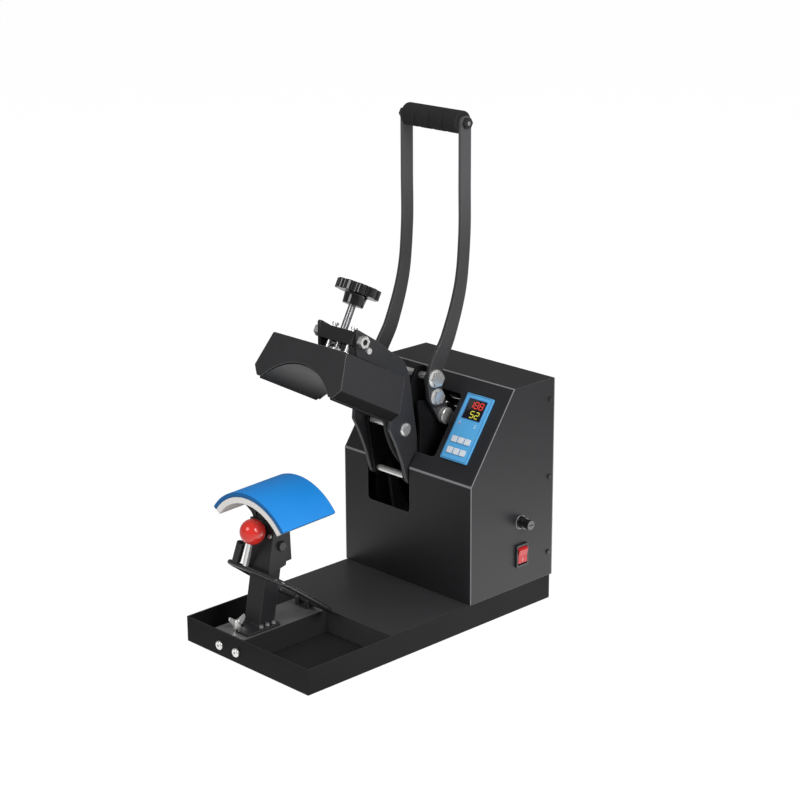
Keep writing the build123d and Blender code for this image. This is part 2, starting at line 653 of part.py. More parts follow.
# ---------------------------------------------------------------- controller
WINDOW = (32.0, 28.0)
WINDOW_AT = (0.0, PANEL_L / 2 - 21.0)
WINDOW_DEPTH = 1.0
PANEL_EDGE = 0.6
KEY_PITCH = (11.7, 16.0)
KEYS_AT = (0.0, 21.2 - PANEL_L / 2)
PANEL = Plane(
    origin=SLOPE.from_local_coords((PANEL_X, PANEL_V, 0)),
    x_dir=(1, 0, 0),
    z_dir=SLOPE.z_dir,
)
PANEL_OUT = Axis((0, 0, 0), tuple(PANEL.z_dir))
KEY_SPOTS = [
    (KEYS_AT[0] + column * KEY_PITCH[0], KEYS_AT[1] + row * KEY_PITCH[1] / 2)
    for row in (1, -1)
    for column in (-1, 0, 1)
]

with BuildPart() as controller_panel:
    with BuildSketch(PANEL.offset(CLEAR)):
        RectangleRounded(PANEL_W, PANEL_L, 1.5)
    extrude(amount=PANEL_T)
    fillet(controller_panel.faces().sort_by(PANEL_OUT)[-1].edges(), PANEL_EDGE)
    with BuildSketch(PANEL.offset(CLEAR + PANEL_T - WINDOW_DEPTH)):
        with Locations(WINDOW_AT):
            Rectangle(WINDOW[0] + 2 * CLEAR, WINDOW[1] + 2 * CLEAR)
    extrude(amount=WINDOW_DEPTH, mode=Mode.SUBTRACT)
    with BuildSketch(PANEL.offset(CLEAR)):
        with Locations(*KEY_SPOTS):
            Rectangle(KEY_W + 2 * CLEAR, KEY_L + 2 * CLEAR)
    extrude(amount=PANEL_T, mode=Mode.SUBTRACT)
save(controller_panel, "controller_panel")

with BuildPart() as display_window:
    with BuildSketch(PANEL.offset(CLEAR + PANEL_T - WINDOW_DEPTH)):
        with Locations(WINDOW_AT):
            Rectangle(*WINDOW)
    extrude(amount=WINDOW_DEPTH - CLEAR / 2)
save(display_window, "display_window")

with BuildPart() as controller_case:
    with BuildSketch(PANEL.offset(CLEAR - KEY_TRAVEL - CLEAR)):
        Rectangle(2 * PANEL_HALF[0], 2 * PANEL_HALF[1])
    extrude(amount=-CASE_DEPTH)
save(controller_case, "controller_case")

for number, spot in enumerate(KEY_SPOTS, start=1):
    with BuildPart() as key:
        with BuildSketch(PANEL.offset(CLEAR)):
            with Locations(spot):
                RectangleRounded(KEY_W, KEY_L, 1.0)
        extrude(amount=PANEL_T + KEY_RISE)
    save(key, f"key_{number}")

# ---------------------------------------------------------------- fuse and rocker
SIDE = Plane.YZ.offset(HOUSE_HALF)
FUSE_RING_R = 9.2
FUSE_RING_T = 2.0
FUSE_BODY_R = 8.0
FUSE_BODY_T = 7.0
FUSE_CAP_R = 6.5
FUSE_CAP_T = 9.5
FUSE_BARREL_L = 26.0
FUSE_PLUG_R = 3.5
FUSE_PLUG_L = 5.0

with BuildPart() as fuse_holder:
    with BuildSketch(SIDE.offset(-FUSE_BARREL_L)):
        with Locations((FUSE_Y, FUSE_Z)):
            Circle(FUSE_BARREL_R)
    extrude(amount=FUSE_BARREL_L + CLEAR)
    with BuildSketch(SIDE.offset(CLEAR)):
        with Locations((FUSE_Y, FUSE_Z)):
            Circle(FUSE_RING_R)
    extrude(amount=FUSE_RING_T)
    with BuildSketch(SIDE.offset(CLEAR + FUSE_RING_T)):
        with Locations((FUSE_Y, FUSE_Z)):
            Circle(FUSE_BODY_R)
    extrude(amount=FUSE_BODY_T)
    with BuildSketch(SIDE.offset(CLEAR + FUSE_RING_T + FUSE_BODY_T)):
        with Locations((FUSE_Y, FUSE_Z)):
            Circle(FUSE_PLUG_R + RUNNING)
    extrude(amount=-FUSE_PLUG_L - CLEAR, mode=Mode.SUBTRACT)
save(fuse_holder, "fuse_holder")

FUSE_SLOT = (1.6, 8.0, 1.2)

with BuildPart() as fuse_cap:
    with BuildSketch(SIDE.offset(2 * CLEAR + FUSE_RING_T + FUSE_BODY_T)):
        with Locations((FUSE_Y, FUSE_Z)):
            Circle(FUSE_CAP_R)
    extrude(amount=FUSE_CAP_T)
    with BuildSketch(SIDE.offset(CLEAR + FUSE_RING_T + FUSE_BODY_T - FUSE_PLUG_L)):
        with Locations((FUSE_Y, FUSE_Z)):
            Circle(FUSE_PLUG_R)
    extrude(amount=FUSE_PLUG_L + 2 * CLEAR)
    with BuildSketch(SIDE.offset(2 * CLEAR + FUSE_RING_T + FUSE_BODY_T + FUSE_CAP_T)):
        with Locations((FUSE_Y, FUSE_Z)):
            Rectangle(FUSE_SLOT[1], FUSE_SLOT[0])
    extrude(amount=-FUSE_SLOT[2], mode=Mode.SUBTRACT)
save(fuse_cap, "fuse_cap")

BEZEL_T = 3.0
BEZEL_RIM = 1.8
ROCKER_DEEP = 14.0
ROCKER_CLEAR = 0.5
ROCKER_IN = (ROCKER_W - 2 * BEZEL_RIM - 2.4, ROCKER_L - 2 * BEZEL_RIM - 3.4)
ROCKER_AXIS_DEPTH = 3.0
ROCKER_SWING = 14.0
BODY_DEPTH = 22.0

with BuildPart() as rocker_bezel:
    with BuildSketch(SIDE.offset(CLEAR)):
        with Locations((ROCKER_Y, ROCKER_Z)):
            RectangleRounded(ROCKER_W, ROCKER_L, 1.5)
    extrude(amount=BEZEL_T)
    with BuildSketch(SIDE.offset(-BODY_DEPTH)):
        with Locations((ROCKER_Y, ROCKER_Z)):
            Rectangle(*ROCKER_BODY)
    extrude(amount=BODY_DEPTH + CLEAR)
    with BuildSketch(SIDE.offset(-ROCKER_DEEP)):
        with Locations((ROCKER_Y, ROCKER_Z)):
            Rectangle(ROCKER_IN[0] + 2 * ROCKER_CLEAR, ROCKER_IN[1] + 2 * ROCKER_CLEAR)
    extrude(amount=ROCKER_DEEP + CLEAR + BEZEL_T, mode=Mode.SUBTRACT)
save(rocker_bezel, "rocker_bezel")

# The rocker's face is a shallow V. Its ends are arcs about the pivot, so that it
# clears the bezel over its whole travel.
ROCKER_PIVOT_X = HOUSE_HALF - ROCKER_AXIS_DEPTH
ROCKER_END_R = ROCKER_IN[1] / 2
ROCKER_FACE = 5.0
ROCKER_SINK = 6.0

with BuildPart() as rocker:
    with BuildSketch(Plane.XZ.offset(-ROCKER_Y + ROCKER_IN[0] / 2)) as rocker_face:
        with Locations((ROCKER_PIVOT_X, ROCKER_Z)):
            Circle(ROCKER_END_R)
        with BuildLine():
            Polyline(
                (ROCKER_PIVOT_X - ROCKER_SINK, ROCKER_Z - ROCKER_L),
                (ROCKER_PIVOT_X - ROCKER_SINK, ROCKER_Z + ROCKER_L),
                (ROCKER_PIVOT_X + ROCKER_FACE + 9.6, ROCKER_Z + ROCKER_L),
                (ROCKER_PIVOT_X + ROCKER_FACE + 1.5, ROCKER_Z),
                (ROCKER_PIVOT_X + ROCKER_FACE + 1.5, ROCKER_Z - ROCKER_L),
                close=True,
            )
        make_face(mode=Mode.INTERSECT)
    extrude(amount=-ROCKER_IN[0])
save(rocker, "rocker")

# ---------------------------------------------------------------- pedestal
FOOT_TOP = TRAY_TOP + CLEAR + FOOT_T
LEAN = Plane(
    origin=(MECH_X, POST_FOOT_Y, FOOT_TOP),
    x_dir=(1, 0, 0),
    z_dir=(0, sin(radians(POST_LEAN)), cos(radians(POST_LEAN))),
)
PAD_AXIS = (cos(radians(PAD_TILT)), sin(radians(PAD_TILT)))
PAD_PLANE = Plane(
    origin=(
        MECH_X,
        PAD_MID_Y - PAD_L / 2 * PAD_AXIS[0],
        PAD_CENTRE_Z - PAD_L / 2 * PAD_AXIS[1],
    ),
    x_dir=(1, 0, 0),
    z_dir=(0, -PAD_AXIS[0], -PAD_AXIS[1]),
)
PAD_SPREAD = degrees(asin(PAD_CHORD / PAD_R))
LOWER_R = PAD_R - PAD_T - CLEAR
LEG_IN = POST_W / 2 + CLEAR
LEG_OUT = LEG_IN + LEG_T
LEG_BOTTOM = -14.0       # above the pad's centre line
LEG_FRONT = 27.0         # behind the pad's front edge
LEG_DEPTH = 25.0
FLARE_X = LEG_OUT + 20.0
UNDER_R = LOWER_R - LOWER_T
FLARE_TOP = sqrt((LOWER_R - LOWER_T / 2) ** 2 - FLARE_X ** 2)
LEG_TOP = sqrt((LOWER_R - LOWER_T / 2) ** 2 - LEG_IN ** 2)
FLARE_DROP = 6.0
LEG_FILLET = 12.0
CROSS_BOLT_R = 4.0
CROSS_BOLT_ALONG = 108.0     # up the post from its foot
POST_L = 160.0
BRACKET_T = 2.5
BRACKET_FROM = 70.0
BRACKET_TO = 136.0
BRACKET_SLANT = 11.0     # rise of the flanges' lower edge from front to back
WEB_BOLT_R = 2.0
WEB_BOLT_ALONG = 120.0


def arc_band(outer, inner, spread, base=0.0):
    """Band of an arch, crest upwards, centred base above the sketch's origin."""
    out_x = outer * sin(radians(spread))
    out_y = base + outer * cos(radians(spread))
    in_x = inner * sin(radians(spread))
    in_y = base + inner * cos(radians(spread))
    with BuildSketch() as band:
        with BuildLine():
            ThreePointArc((-out_x, out_y), (0, base + outer), (out_x, out_y))
            Line((out_x, out_y), (in_x, in_y))
            ThreePointArc((in_x, in_y), (0, base + inner), (-in_x, in_y))
            Line((-in_x, in_y), (-out_x, out_y))
        make_face()
    return band.sketch


def up_post(along, across=0.0):
    """Y and Z of a point up the post's centre line, moved towards its back."""
    point = LEAN.from_local_coords((0, across, along))
    return (point.Y, point.Z)


with BuildPart() as silicone_pad:
    with BuildSketch(PAD_PLANE):
        add(arc_band(PAD_R, PAD_R - PAD_T, PAD_SPREAD))
    extrude(amount=-PAD_L)
save(silicone_pad, "silicone_pad")

# The lower platen is one casting: an arched plate and two legs that straddle the post.
with BuildPart() as lower_platen:
    with BuildSketch(PAD_PLANE):
        add(arc_band(LOWER_R, UNDER_R, PAD_SPREAD - 1.0))
    extrude(amount=-PAD_L)
    with BuildSketch(PAD_PLANE.offset(-LEG_FRONT)) as legs_face:
        for side in (-1, 1):
            with BuildLine():
                Polyline(
                    (side * LEG_IN, LEG_BOTTOM),
                    (side * LEG_IN, LEG_TOP),
                    (side * FLARE_X, FLARE_TOP),
                    (side * FLARE_X, FLARE_TOP - FLARE_DROP),
                    (side * LEG_OUT, FLARE_TOP - 3 * FLARE_DROP),
                    (side * LEG_OUT, LEG_BOTTOM),
                    close=True,
                )
            make_face()
        bends = [
            v
            for v in legs_face.vertices()
            if abs(abs(v.X) - LEG_OUT) < CLEAR and v.Y > LEG_BOTTOM + LEG_T
        ]
        fillet(bends, LEG_FILLET)
    extrude(amount=-LEG_DEPTH)
    with BuildSketch(side_plane(-LEG_OUT)):
        with Locations(up_post(CROSS_BOLT_ALONG)):
            Circle(CROSS_BOLT_R + RUNNING)
    extrude(amount=2 * LEG_OUT, mode=Mode.SUBTRACT)
save(lower_platen, "lower_platen")

with BuildPart() as post:
    with BuildSketch(LEAN.offset(-POST_D)):
        Rectangle(POST_W, POST_D)
        Rectangle(POST_W - 2 * POST_WALL, POST_D - 2 * POST_WALL, mode=Mode.SUBTRACT)
    extrude(amount=POST_L + POST_D)
    split(bisect_by=Plane.XY.offset(FOOT_TOP), keep=Keep.TOP)
    with BuildSketch(side_plane(-POST_W / 2)):
        with Locations(up_post(CROSS_BOLT_ALONG)):
            Circle(CROSS_BOLT_R + RUNNING)
    extrude(amount=POST_W, mode=Mode.SUBTRACT)
save(post, "post")

with BuildPart() as post_foot:
    with BuildSketch(Plane.XY.offset(TRAY_TOP + CLEAR)):
        with Locations((MECH_X, (FOOT_FRONT_Y + FOOT_REAR_Y) / 2)):
            RectangleRounded(FOOT_W, FOOT_REAR_Y - FOOT_FRONT_Y, FOOT_CORNER)
        with Locations((MECH_X - FOOT_W / 2, FOOT_FRONT_Y)):
            Rectangle(2 * FOOT_NOTCH[0], 2 * FOOT_NOTCH[1], mode=Mode.SUBTRACT)
        with Locations(*FOOT_BOLT_SPOTS):
            Circle(FOOT_BOLT_R + CLEAR, mode=Mode.SUBTRACT)
    extrude(amount=FOOT_T)
save(post_foot, "post_foot")

FOOT_HEAD_R = 3.3
FOOT_HEAD_H = 3.0
FOOT_NUT_R = 4.4
FOOT_NUT_H = 3.5
RAIL_UNDER = TRAY_TOP - RAIL_SHEET
FOOT_BOLT_END = RAIL_UNDER - CLEAR - FOOT_NUT_H - 1.0

with BuildPart() as foot_bolts:
    with BuildSketch(Plane.XY.offset(FOOT_TOP + CLEAR)):
        with Locations(*FOOT_BOLT_SPOTS):
            Circle(FOOT_HEAD_R)
    extrude(amount=FOOT_HEAD_H, taper=15)
    with BuildSketch(Plane.XY.offset(FOOT_BOLT_END)):
        with Locations(*FOOT_BOLT_SPOTS):
            Circle(FOOT_BOLT_R)
    extrude(amount=FOOT_TOP + CLEAR - FOOT_BOLT_END)
    with BuildSketch(Plane.XY.offset(RAIL_UNDER - CLEAR)):
        with Locations(*FOOT_BOLT_SPOTS):
            RegularPolygon(FOOT_NUT_R, 6)
    extrude(amount=-FOOT_NUT_H)
save(foot_bolts, "foot_bolts")

WING_HUB_R = 5.5
WING_HUB_H = 7.0
WING_SPAN = 24.0
WING_T = 3.0
WING_TOP = 14.0
WING_END = 24.0
WING_ANGLE = 80.0
WING_SEAT = TRAY_TOP + CLEAR

with BuildPart() as wing_screw:
    with BuildSketch(Plane.XY.offset(WING_SEAT)):
        with Locations((WING_X, WING_Y)):
            Circle(WING_HUB_R)
    extrude(amount=WING_HUB_H + FOOT_T, taper=8)
    with BuildSketch(Plane.XY.offset(WING_END)):
        with Locations((WING_X, WING_Y)):
            Circle(WING_SHANK_R)
    extrude(amount=WING_SEAT - WING_END)
    wing_plane = Plane(
        origin=(WING_X, WING_Y, WING_SEAT + FOOT_T),
        x_dir=(cos(radians(WING_ANGLE)), sin(radians(WING_ANGLE)), 0),
        z_dir=(sin(radians(WING_ANGLE)), -cos(radians(WING_ANGLE)), 0),
    )
    with BuildSketch(wing_plane.offset(-WING_T / 2)):
        for side in (-1, 1):
            with BuildLine():
                Polyline(
                    (0, 1.0),
                    (side * WING_SPAN * 0.3, 2.0),
                    (side * WING_SPAN / 2, WING_TOP * 0.7),
                    (side * WING_SPAN * 0.45, WING_TOP),
                    (side * WING_SPAN * 0.3, WING_TOP * 0.85),
                    (0, WING_HUB_H),
                    close=True,
                )
            make_face()
    extrude(amount=WING_T)
save(wing_screw, "wing_screw")

# A folded channel wraps the legs and the post from the front.
BRACKET_IN = LEG_OUT + CLEAR
BRACKET_OUT = BRACKET_IN + BRACKET_T
POST_FRONT = POST_D / 2 + CLEAR
SLANT_SPOTS = [
    LEAN.from_local_coords((0, -POST_FRONT, BRACKET_FROM)),
    LEAN.from_local_coords((0, POST_FRONT, BRACKET_FROM)),
    LEAN.from_local_coords((0, POST_FRONT, BRACKET_FROM + BRACKET_SLANT)),
]

with BuildPart() as post_bracket:
    with BuildSketch(LEAN.offset(BRACKET_FROM)):
        with Locations((0, -BRACKET_T / 2)):
            Rectangle(2 * BRACKET_OUT, POST_D + 2 * CLEAR + BRACKET_T)
        with Locations((0, BRACKET_T)):
            Rectangle(2 * BRACKET_IN, POST_D + 2 * CLEAR + 2 * BRACKET_T, mode=Mode.SUBTRACT)
    extrude(amount=BRACKET_TO - BRACKET_FROM)
    with BuildSketch(side_plane(-BRACKET_OUT)):
        with BuildLine():
            Polyline(*[(spot.Y, spot.Z) for spot in SLANT_SPOTS], close=True)
        make_face()
    extrude(amount=2 * BRACKET_OUT, mode=Mode.SUBTRACT)
    with BuildSketch(side_plane(-BRACKET_OUT)):
        with Locations(up_post(CROSS_BOLT_ALONG)):
            Circle(CROSS_BOLT_R + CLEAR)
    extrude(amount=2 * BRACKET_OUT, mode=Mode.SUBTRACT)
    front = Plane(
        origin=LEAN.from_local_coords((0, -POST_FRONT, WEB_BOLT_ALONG)),
        x_dir=(1, 0, 0),
        z_dir=(0, -cos(radians(POST_LEAN)), sin(radians(POST_LEAN))),
    )
    with BuildSketch(front):
        with GridLocations(2 * (LEG_IN + LEG_T / 2), 1, 2, 1):
            Circle(WEB_BOLT_R + CLEAR)
    extrude(amount=BRACKET_T, mode=Mode.SUBTRACT)
save(post_bracket, "post_bracket")

CROSS_HEAD_R = 6.5
CROSS_HEAD_H = 4.0
WEB_HEAD_R = 3.2
WEB_HEAD_H = 2.2

with BuildPart() as platen_bolts:
    with BuildSketch(side_plane(-BRACKET_OUT - CLEAR)):
        with Locations(up_post(CROSS_BOLT_ALONG)):
            Circle(CROSS_BOLT_R)
    extrude(amount=2 * (BRACKET_OUT + CLEAR))
    for side in (-1, 1):
        low = side * (BRACKET_OUT + CLEAR + CROSS_HEAD_H / 2) - CROSS_HEAD_H / 2
        with BuildSketch(side_plane(low)):
            with Locations(up_post(CROSS_BOLT_ALONG)):
                RegularPolygon(CROSS_HEAD_R, 6)
        extrude(amount=CROSS_HEAD_H)
    with BuildSketch(front.offset(BRACKET_T + CLEAR)):
        with GridLocations(2 * (LEG_IN + LEG_T / 2), 1, 2, 1):
            Circle(WEB_HEAD_R)
    extrude(amount=WEB_HEAD_H, taper=15)
    with BuildSketch(front.offset(BRACKET_T + CLEAR)):
        with GridLocations(2 * (LEG_IN + LEG_T / 2), 1, 2, 1):
            Circle(WEB_BOLT_R)
    extrude(amount=-BRACKET_T - 2 * CLEAR)
save(platen_bolts, "platen_bolts")

# ---------------------------------------------------------------- bail
BAIL_CORNER = 12.0
BAIL_RUN = (BAIL_FRONT[0] - BAIL_PIVOT[0], BAIL_FRONT[1] - BAIL_PIVOT[1])
BAIL_REACH = hypot(*BAIL_RUN)
BAIL_PLANE = Plane(
    origin=(MECH_X, BAIL_PIVOT[0], BAIL_PIVOT[1]),
    x_dir=(1, 0, 0),
    z_dir=(0, -BAIL_RUN[1] / BAIL_REACH, BAIL_RUN[0] / BAIL_REACH),
)

with BuildPart() as bail_loop:
    with BuildLine(BAIL_PLANE) as bail_path:
        FilletPolyline(
            (BAIL_HALF, 0),
            (BAIL_HALF, BAIL_REACH),
            (-BAIL_HALF, BAIL_REACH),
            (-BAIL_HALF, 0),
            radius=BAIL_CORNER,
            close=True,
        )
    with BuildSketch(Plane(origin=bail_path.line @ 0, z_dir=bail_path.line % 0)):
        Circle(BAIL_R)
    sweep(path=bail_path.line)
save(bail_loop, "bail_loop")



def stand_off(run, radius):
    """Distance along run at which a round end of this radius just clears the front bar."""
    lean = abs(run.normalized().X)
    return (BAIL_R + CLEAR + radius * lean) / sqrt(1 - lean ** 2)


STEM_FOOT_X = -52.0
STEM_FOOT = Vector(STEM_FOOT_X, BAIL_FRONT[0], BAIL_FRONT[1])
STEM_RUN = Vector(*BALL_CENTRE) - STEM_FOOT
STEM_PLANE = Plane(origin=STEM_FOOT, z_dir=STEM_RUN)
STEM_START = stand_off(STEM_RUN, STEM_R)
STEM_SINK = 9.0
STEM_END = STEM_RUN.length - BALL_R + STEM_SINK

with BuildPart() as ball_stem:
    with BuildSketch(STEM_PLANE.offset(STEM_START)):
        Circle(STEM_R)
    extrude(amount=STEM_END - STEM_START)
save(ball_stem, "ball_stem")

with BuildPart() as ball_knob:
    with Locations(Vector(*BALL_CENTRE)):
        Sphere(BALL_R)
    with BuildSketch(STEM_PLANE.offset(STEM_START)):
        Circle(STEM_R + RUNNING)
    extrude(amount=STEM_END + CLEAR - STEM_START, mode=Mode.SUBTRACT)
save(ball_knob, "ball_knob")

SLEEVE_X = -71.0
SLEEVE_REACH = (10.0, 2.5, 32.0)
SLEEVE_FOOT = Vector(SLEEVE_X, BAIL_FRONT[0], BAIL_FRONT[1])
SLEEVE_RUN = Vector(*SLEEVE_REACH)
SLEEVE_PLANE = Plane(origin=SLEEVE_FOOT, z_dir=SLEEVE_RUN)
SLEEVE_R = 6.0
SLEEVE_BORE = 2.5
SLEEVE_LOW = stand_off(SLEEVE_RUN, SLEEVE_R)

with BuildPart() as clamp_sleeve:
    with BuildSketch(SLEEVE_PLANE.offset(SLEEVE_LOW)):
        Circle(SLEEVE_R)
    extrude(amount=SLEEVE_RUN.length - SLEEVE_LOW)
    with BuildSketch(SLEEVE_PLANE.offset(SLEEVE_RUN.length)):
        Circle(SLEEVE_BORE)
    extrude(amount=-SLEEVE_R, mode=Mode.SUBTRACT)
save(clamp_sleeve, "clamp_sleeve")

# ---------------------------------------------------------------- arm
TIE_ROD = (74.0, 184.0)
TIE_ROD_R = 4.5
LINK_PIN = (60.9, 256.5)
LINK_PIN_R = 4.0
BOSS_R = 15.0
ARM_CORNER = 3.0
BLOCK_AT = head_point(SCREW_ALONG, BLOCK_H)
BLOCK_BOLT_R = 5.0
STOP_SCREW = (-6.0, 380.0)
STOP_SCREW_R = 2.5
ARM_OUTLINE = [
    (-26.0, 414.0),
    (8.0, 392.0),
    (34.0, 372.0),
    (53.0, 359.0),
    (61.5, 349.0),
    (69.4, 332.0),
    (72.4, 310.0),
    (77.3, 277.0),
    (81.3, 253.0),
    (85.0, 225.0),
    (ARM_PIVOT[0] + 14.0, ARM_PIVOT[1] + 5.0),
    (ARM_PIVOT[0] - 14.0, ARM_PIVOT[1] - 4.0),
    (99.0, 165.0),
    (77.0, 180.5),
    (64.0, 184.0),
    (56.5, 210.0),
    (48.5, 230.4),
    (40.6, 247.6),
    (33.0, 262.0),
    (37.0, 300.0),
    (42.0, 330.0),
    (39.0, 341.0),
    (-26.0, 377.0),
]
ARM_HOLES = [
    (ARM_PIVOT, SHAFT_R + RUNNING),
    (TIE_ROD, TIE_ROD_R + RUNNING),
    (LINK_PIN, LINK_PIN_R + RUNNING),
    (BLOCK_AT, BLOCK_BOLT_R + RUNNING),
    (STOP_SCREW, STOP_SCREW_R + RUNNING),
]

for side, label in ((-1, "arm_plate_left"), (1, "arm_plate_right")):
    with BuildPart() as arm_plate:
        with BuildSketch(side_plane(side * ARM_HALF - ARM_T / 2)):
            with BuildLine():
                FilletPolyline(*ARM_OUTLINE, radius=ARM_CORNER, close=True)
            make_face()
            with Locations(ARM_PIVOT):
                Circle(BOSS_R)
            with Locations(TIE_ROD):
                Circle(TIE_ROD_R * 2)
            for spot, radius in ARM_HOLES:
                with Locations(spot):
                    Circle(radius, mode=Mode.SUBTRACT)
        extrude(amount=ARM_T)
    save(arm_plate, label)

ARM_OUT = ARM_HALF + ARM_T / 2
ARM_IN = ARM_HALF - ARM_T / 2
with BuildPart() as arm_tie_rod:
    with BuildSketch(side_plane(-ARM_OUT)):
        with Locations(TIE_ROD):
            Circle(TIE_ROD_R)
    extrude(amount=2 * ARM_OUT)
save(arm_tie_rod, "arm_tie_rod")

LINK_WASHER = (9.3, 1.2)
LINK_HEAD_R = 7.6
LINK_HEAD_H = 2.0

with BuildPart() as link_pin:
    with BuildSketch(side_plane(-ARM_OUT - CLEAR)):
        with Locations(LINK_PIN):
            Circle(LINK_PIN_R)
    extrude(amount=2 * (ARM_OUT + CLEAR))
    for side in (-1, 1):
        seat = bolt_seat(side, ARM_OUT, LINK_PIN)
        with BuildSketch(seat):
            Circle(LINK_WASHER[0])
        extrude(amount=LINK_WASHER[1])
        with BuildSketch(seat.offset(LINK_WASHER[1])):
            RegularPolygon(LINK_HEAD_R, 6)
        extrude(amount=LINK_HEAD_H)
save(link_pin, "link_pin")

# The toggle shaft runs in a slot that is its own path seen from the turning arm.
SLOT_STEPS = 13
SLOT_PATH = [
    turned(
        turned(TOGGLE, LEVER_PIVOT, HANDLE_SWING * step / (SLOT_STEPS - 1)),
        ARM_PIVOT,
        -ARM_SWING * step / (SLOT_STEPS - 1),
    )
    for step in range(SLOT_STEPS)
]
DRIVE_TOP_R = 13.0
DRIVE_RIM = 9.0
SLOT_HALF = TOGGLE_R + 0.15

with BuildPart() as drive_plates:
    for side in (-1, 1):
        with BuildSketch(side_plane(side * DRIVE_HALF - DRIVE_T / 2)):
            with Locations(SLOT_PATH[0]):
                Circle(DRIVE_TOP_R)
            with Locations(SLOT_PATH[SLOT_STEPS // 2], SLOT_PATH[-1]):
                Circle(DRIVE_RIM)
            with Locations(LINK_PIN, TIE_ROD):
                Circle(2 * LINK_PIN_R)
            make_hull()
            with BuildLine():
                slot_line = Spline(*SLOT_PATH)
            trace(lines=slot_line, line_width=2 * SLOT_HALF, mode=Mode.SUBTRACT)
            with Locations(SLOT_PATH[0], SLOT_PATH[-1]):
                Circle(SLOT_HALF, mode=Mode.SUBTRACT)
            with Locations(LINK_PIN):
                Circle(LINK_PIN_R + RUNNING, mode=Mode.SUBTRACT)
            with Locations(TIE_ROD):
                Circle(TIE_ROD_R + RUNNING, mode=Mode.SUBTRACT)
        extrude(amount=DRIVE_T)
save(drive_plates, "drive_plates")

BLOCK_W = 2 * (ARM_IN - CLEAR)
BLOCK_BOLT_IN = 9.0

with BuildPart() as cross_block:
    with BuildSketch(head_deck(SCREW_ALONG, BLOCK_H - BLOCK_TALL / 2)):
        Rectangle(BLOCK_W, BLOCK_DEPTH)
        Circle(SCREW_R + RUNNING, mode=Mode.SUBTRACT)
        with GridLocations(GUIDE_PITCH, 1, 2, 1):
            Circle(GUIDE_R + RUNNING, mode=Mode.SUBTRACT)
    extrude(amount=BLOCK_TALL)
    for side in (-1, 1):
        low = side * (BLOCK_W / 2 - BLOCK_BOLT_IN / 2) - BLOCK_BOLT_IN / 2
        with BuildSketch(side_plane(low)):
            with Locations(BLOCK_AT):
                Circle(BLOCK_BOLT_R + RUNNING)
        extrude(amount=BLOCK_BOLT_IN, mode=Mode.SUBTRACT)
save(cross_block, "cross_block")

BLOCK_HEAD_R = 8.5
BLOCK_HEAD_H = 8.0
BLOCK_HOLLOW_R = 4.0
BLOCK_SHANK = ARM_T + BLOCK_BOLT_IN
STOP_HEAD_R = 5.0
STOP_HEAD_H = 3.2
STOP_TAPER = 15
STOP_NUT_R = 4.6
STOP_NUT_H = 2.4

with BuildPart() as block_bolts:
    for side in (-1, 1):
        seat = bolt_seat(side, ARM_OUT, BLOCK_AT)
        with BuildSketch(seat):
            RegularPolygon(BLOCK_HEAD_R, 6)
        extrude(amount=BLOCK_HEAD_H)
        with BuildSketch(seat):
            Circle(BLOCK_BOLT_R)
        extrude(amount=-BLOCK_SHANK)
        with BuildSketch(seat.offset(BLOCK_HEAD_H)):
            Circle(BLOCK_HOLLOW_R)
        extrude(amount=-BLOCK_HEAD_H, mode=Mode.SUBTRACT)
        screw = bolt_seat(side, ARM_OUT, STOP_SCREW)
        with BuildSketch(screw):
            Circle(STOP_HEAD_R)
        extrude(amount=STOP_HEAD_H, taper=STOP_TAPER)
        with BuildSketch(screw):
            Circle(STOP_SCREW_R)
        extrude(amount=-(ARM_T + 2 * CLEAR))
        with BuildSketch(screw.offset(-(ARM_T + 2 * CLEAR))):
            RegularPolygon(STOP_NUT_R, 6)
        extrude(amount=-STOP_NUT_H)
save(block_bolts, "block_bolts")

CABLE_R = 4.0
CABLE_X = 12.0
CABLE_ALONG = 99.0
CABLE_PATH = [
    head_point(CABLE_ALONG, -12.0),
    head_point(CABLE_ALONG, 17.0),
    (56.0, 335.0),
    (46.0, 268.0),
    (62.0, 222.0),
    (84.5, 195.0),
    (94.0, 176.0),
]
CABLE_BEND = 12.0

with BuildPart() as heater_cable:
    with BuildLine(side_plane(CABLE_X)) as cable_path:
        FilletPolyline(*CABLE_PATH, radius=CABLE_BEND)
    with BuildSketch(Plane(origin=cable_path.line @ 0, z_dir=cable_path.line % 0)):
        Circle(CABLE_R)
    sweep(path=cable_path.line)
save(heater_cable, "heater_cable")

# ---------------------------------------------------------------- head
GLAND_HOLE_R = CABLE_R + CLEAR
BOSS_TOP = 6.0
THRUST_R = 10.0
COVER_HOLE_R = THRUST_R + CLEAR
HEAD_PROFILE = [
    (-HEAD_TOP_W / 2, 0),
    (HEAD_TOP_W / 2, 0),
    (HEAD_SHOULDER_W / 2, -HEAD_SHOULDER_H),
    (HEAD_BOTTOM_W / 2, -HEAD_H),
    (-HEAD_BOTTOM_W / 2, -HEAD_H),
    (-HEAD_SHOULDER_W / 2, -HEAD_SHOULDER_H),
]
HEAD_ROUND = 3.0
ARCH_CENTRE = -(ARCH_CREST + ARCH_R)
OPEN_HALF = HEAD_BOTTOM_W / 2 - 2 * HEAD_SHEET

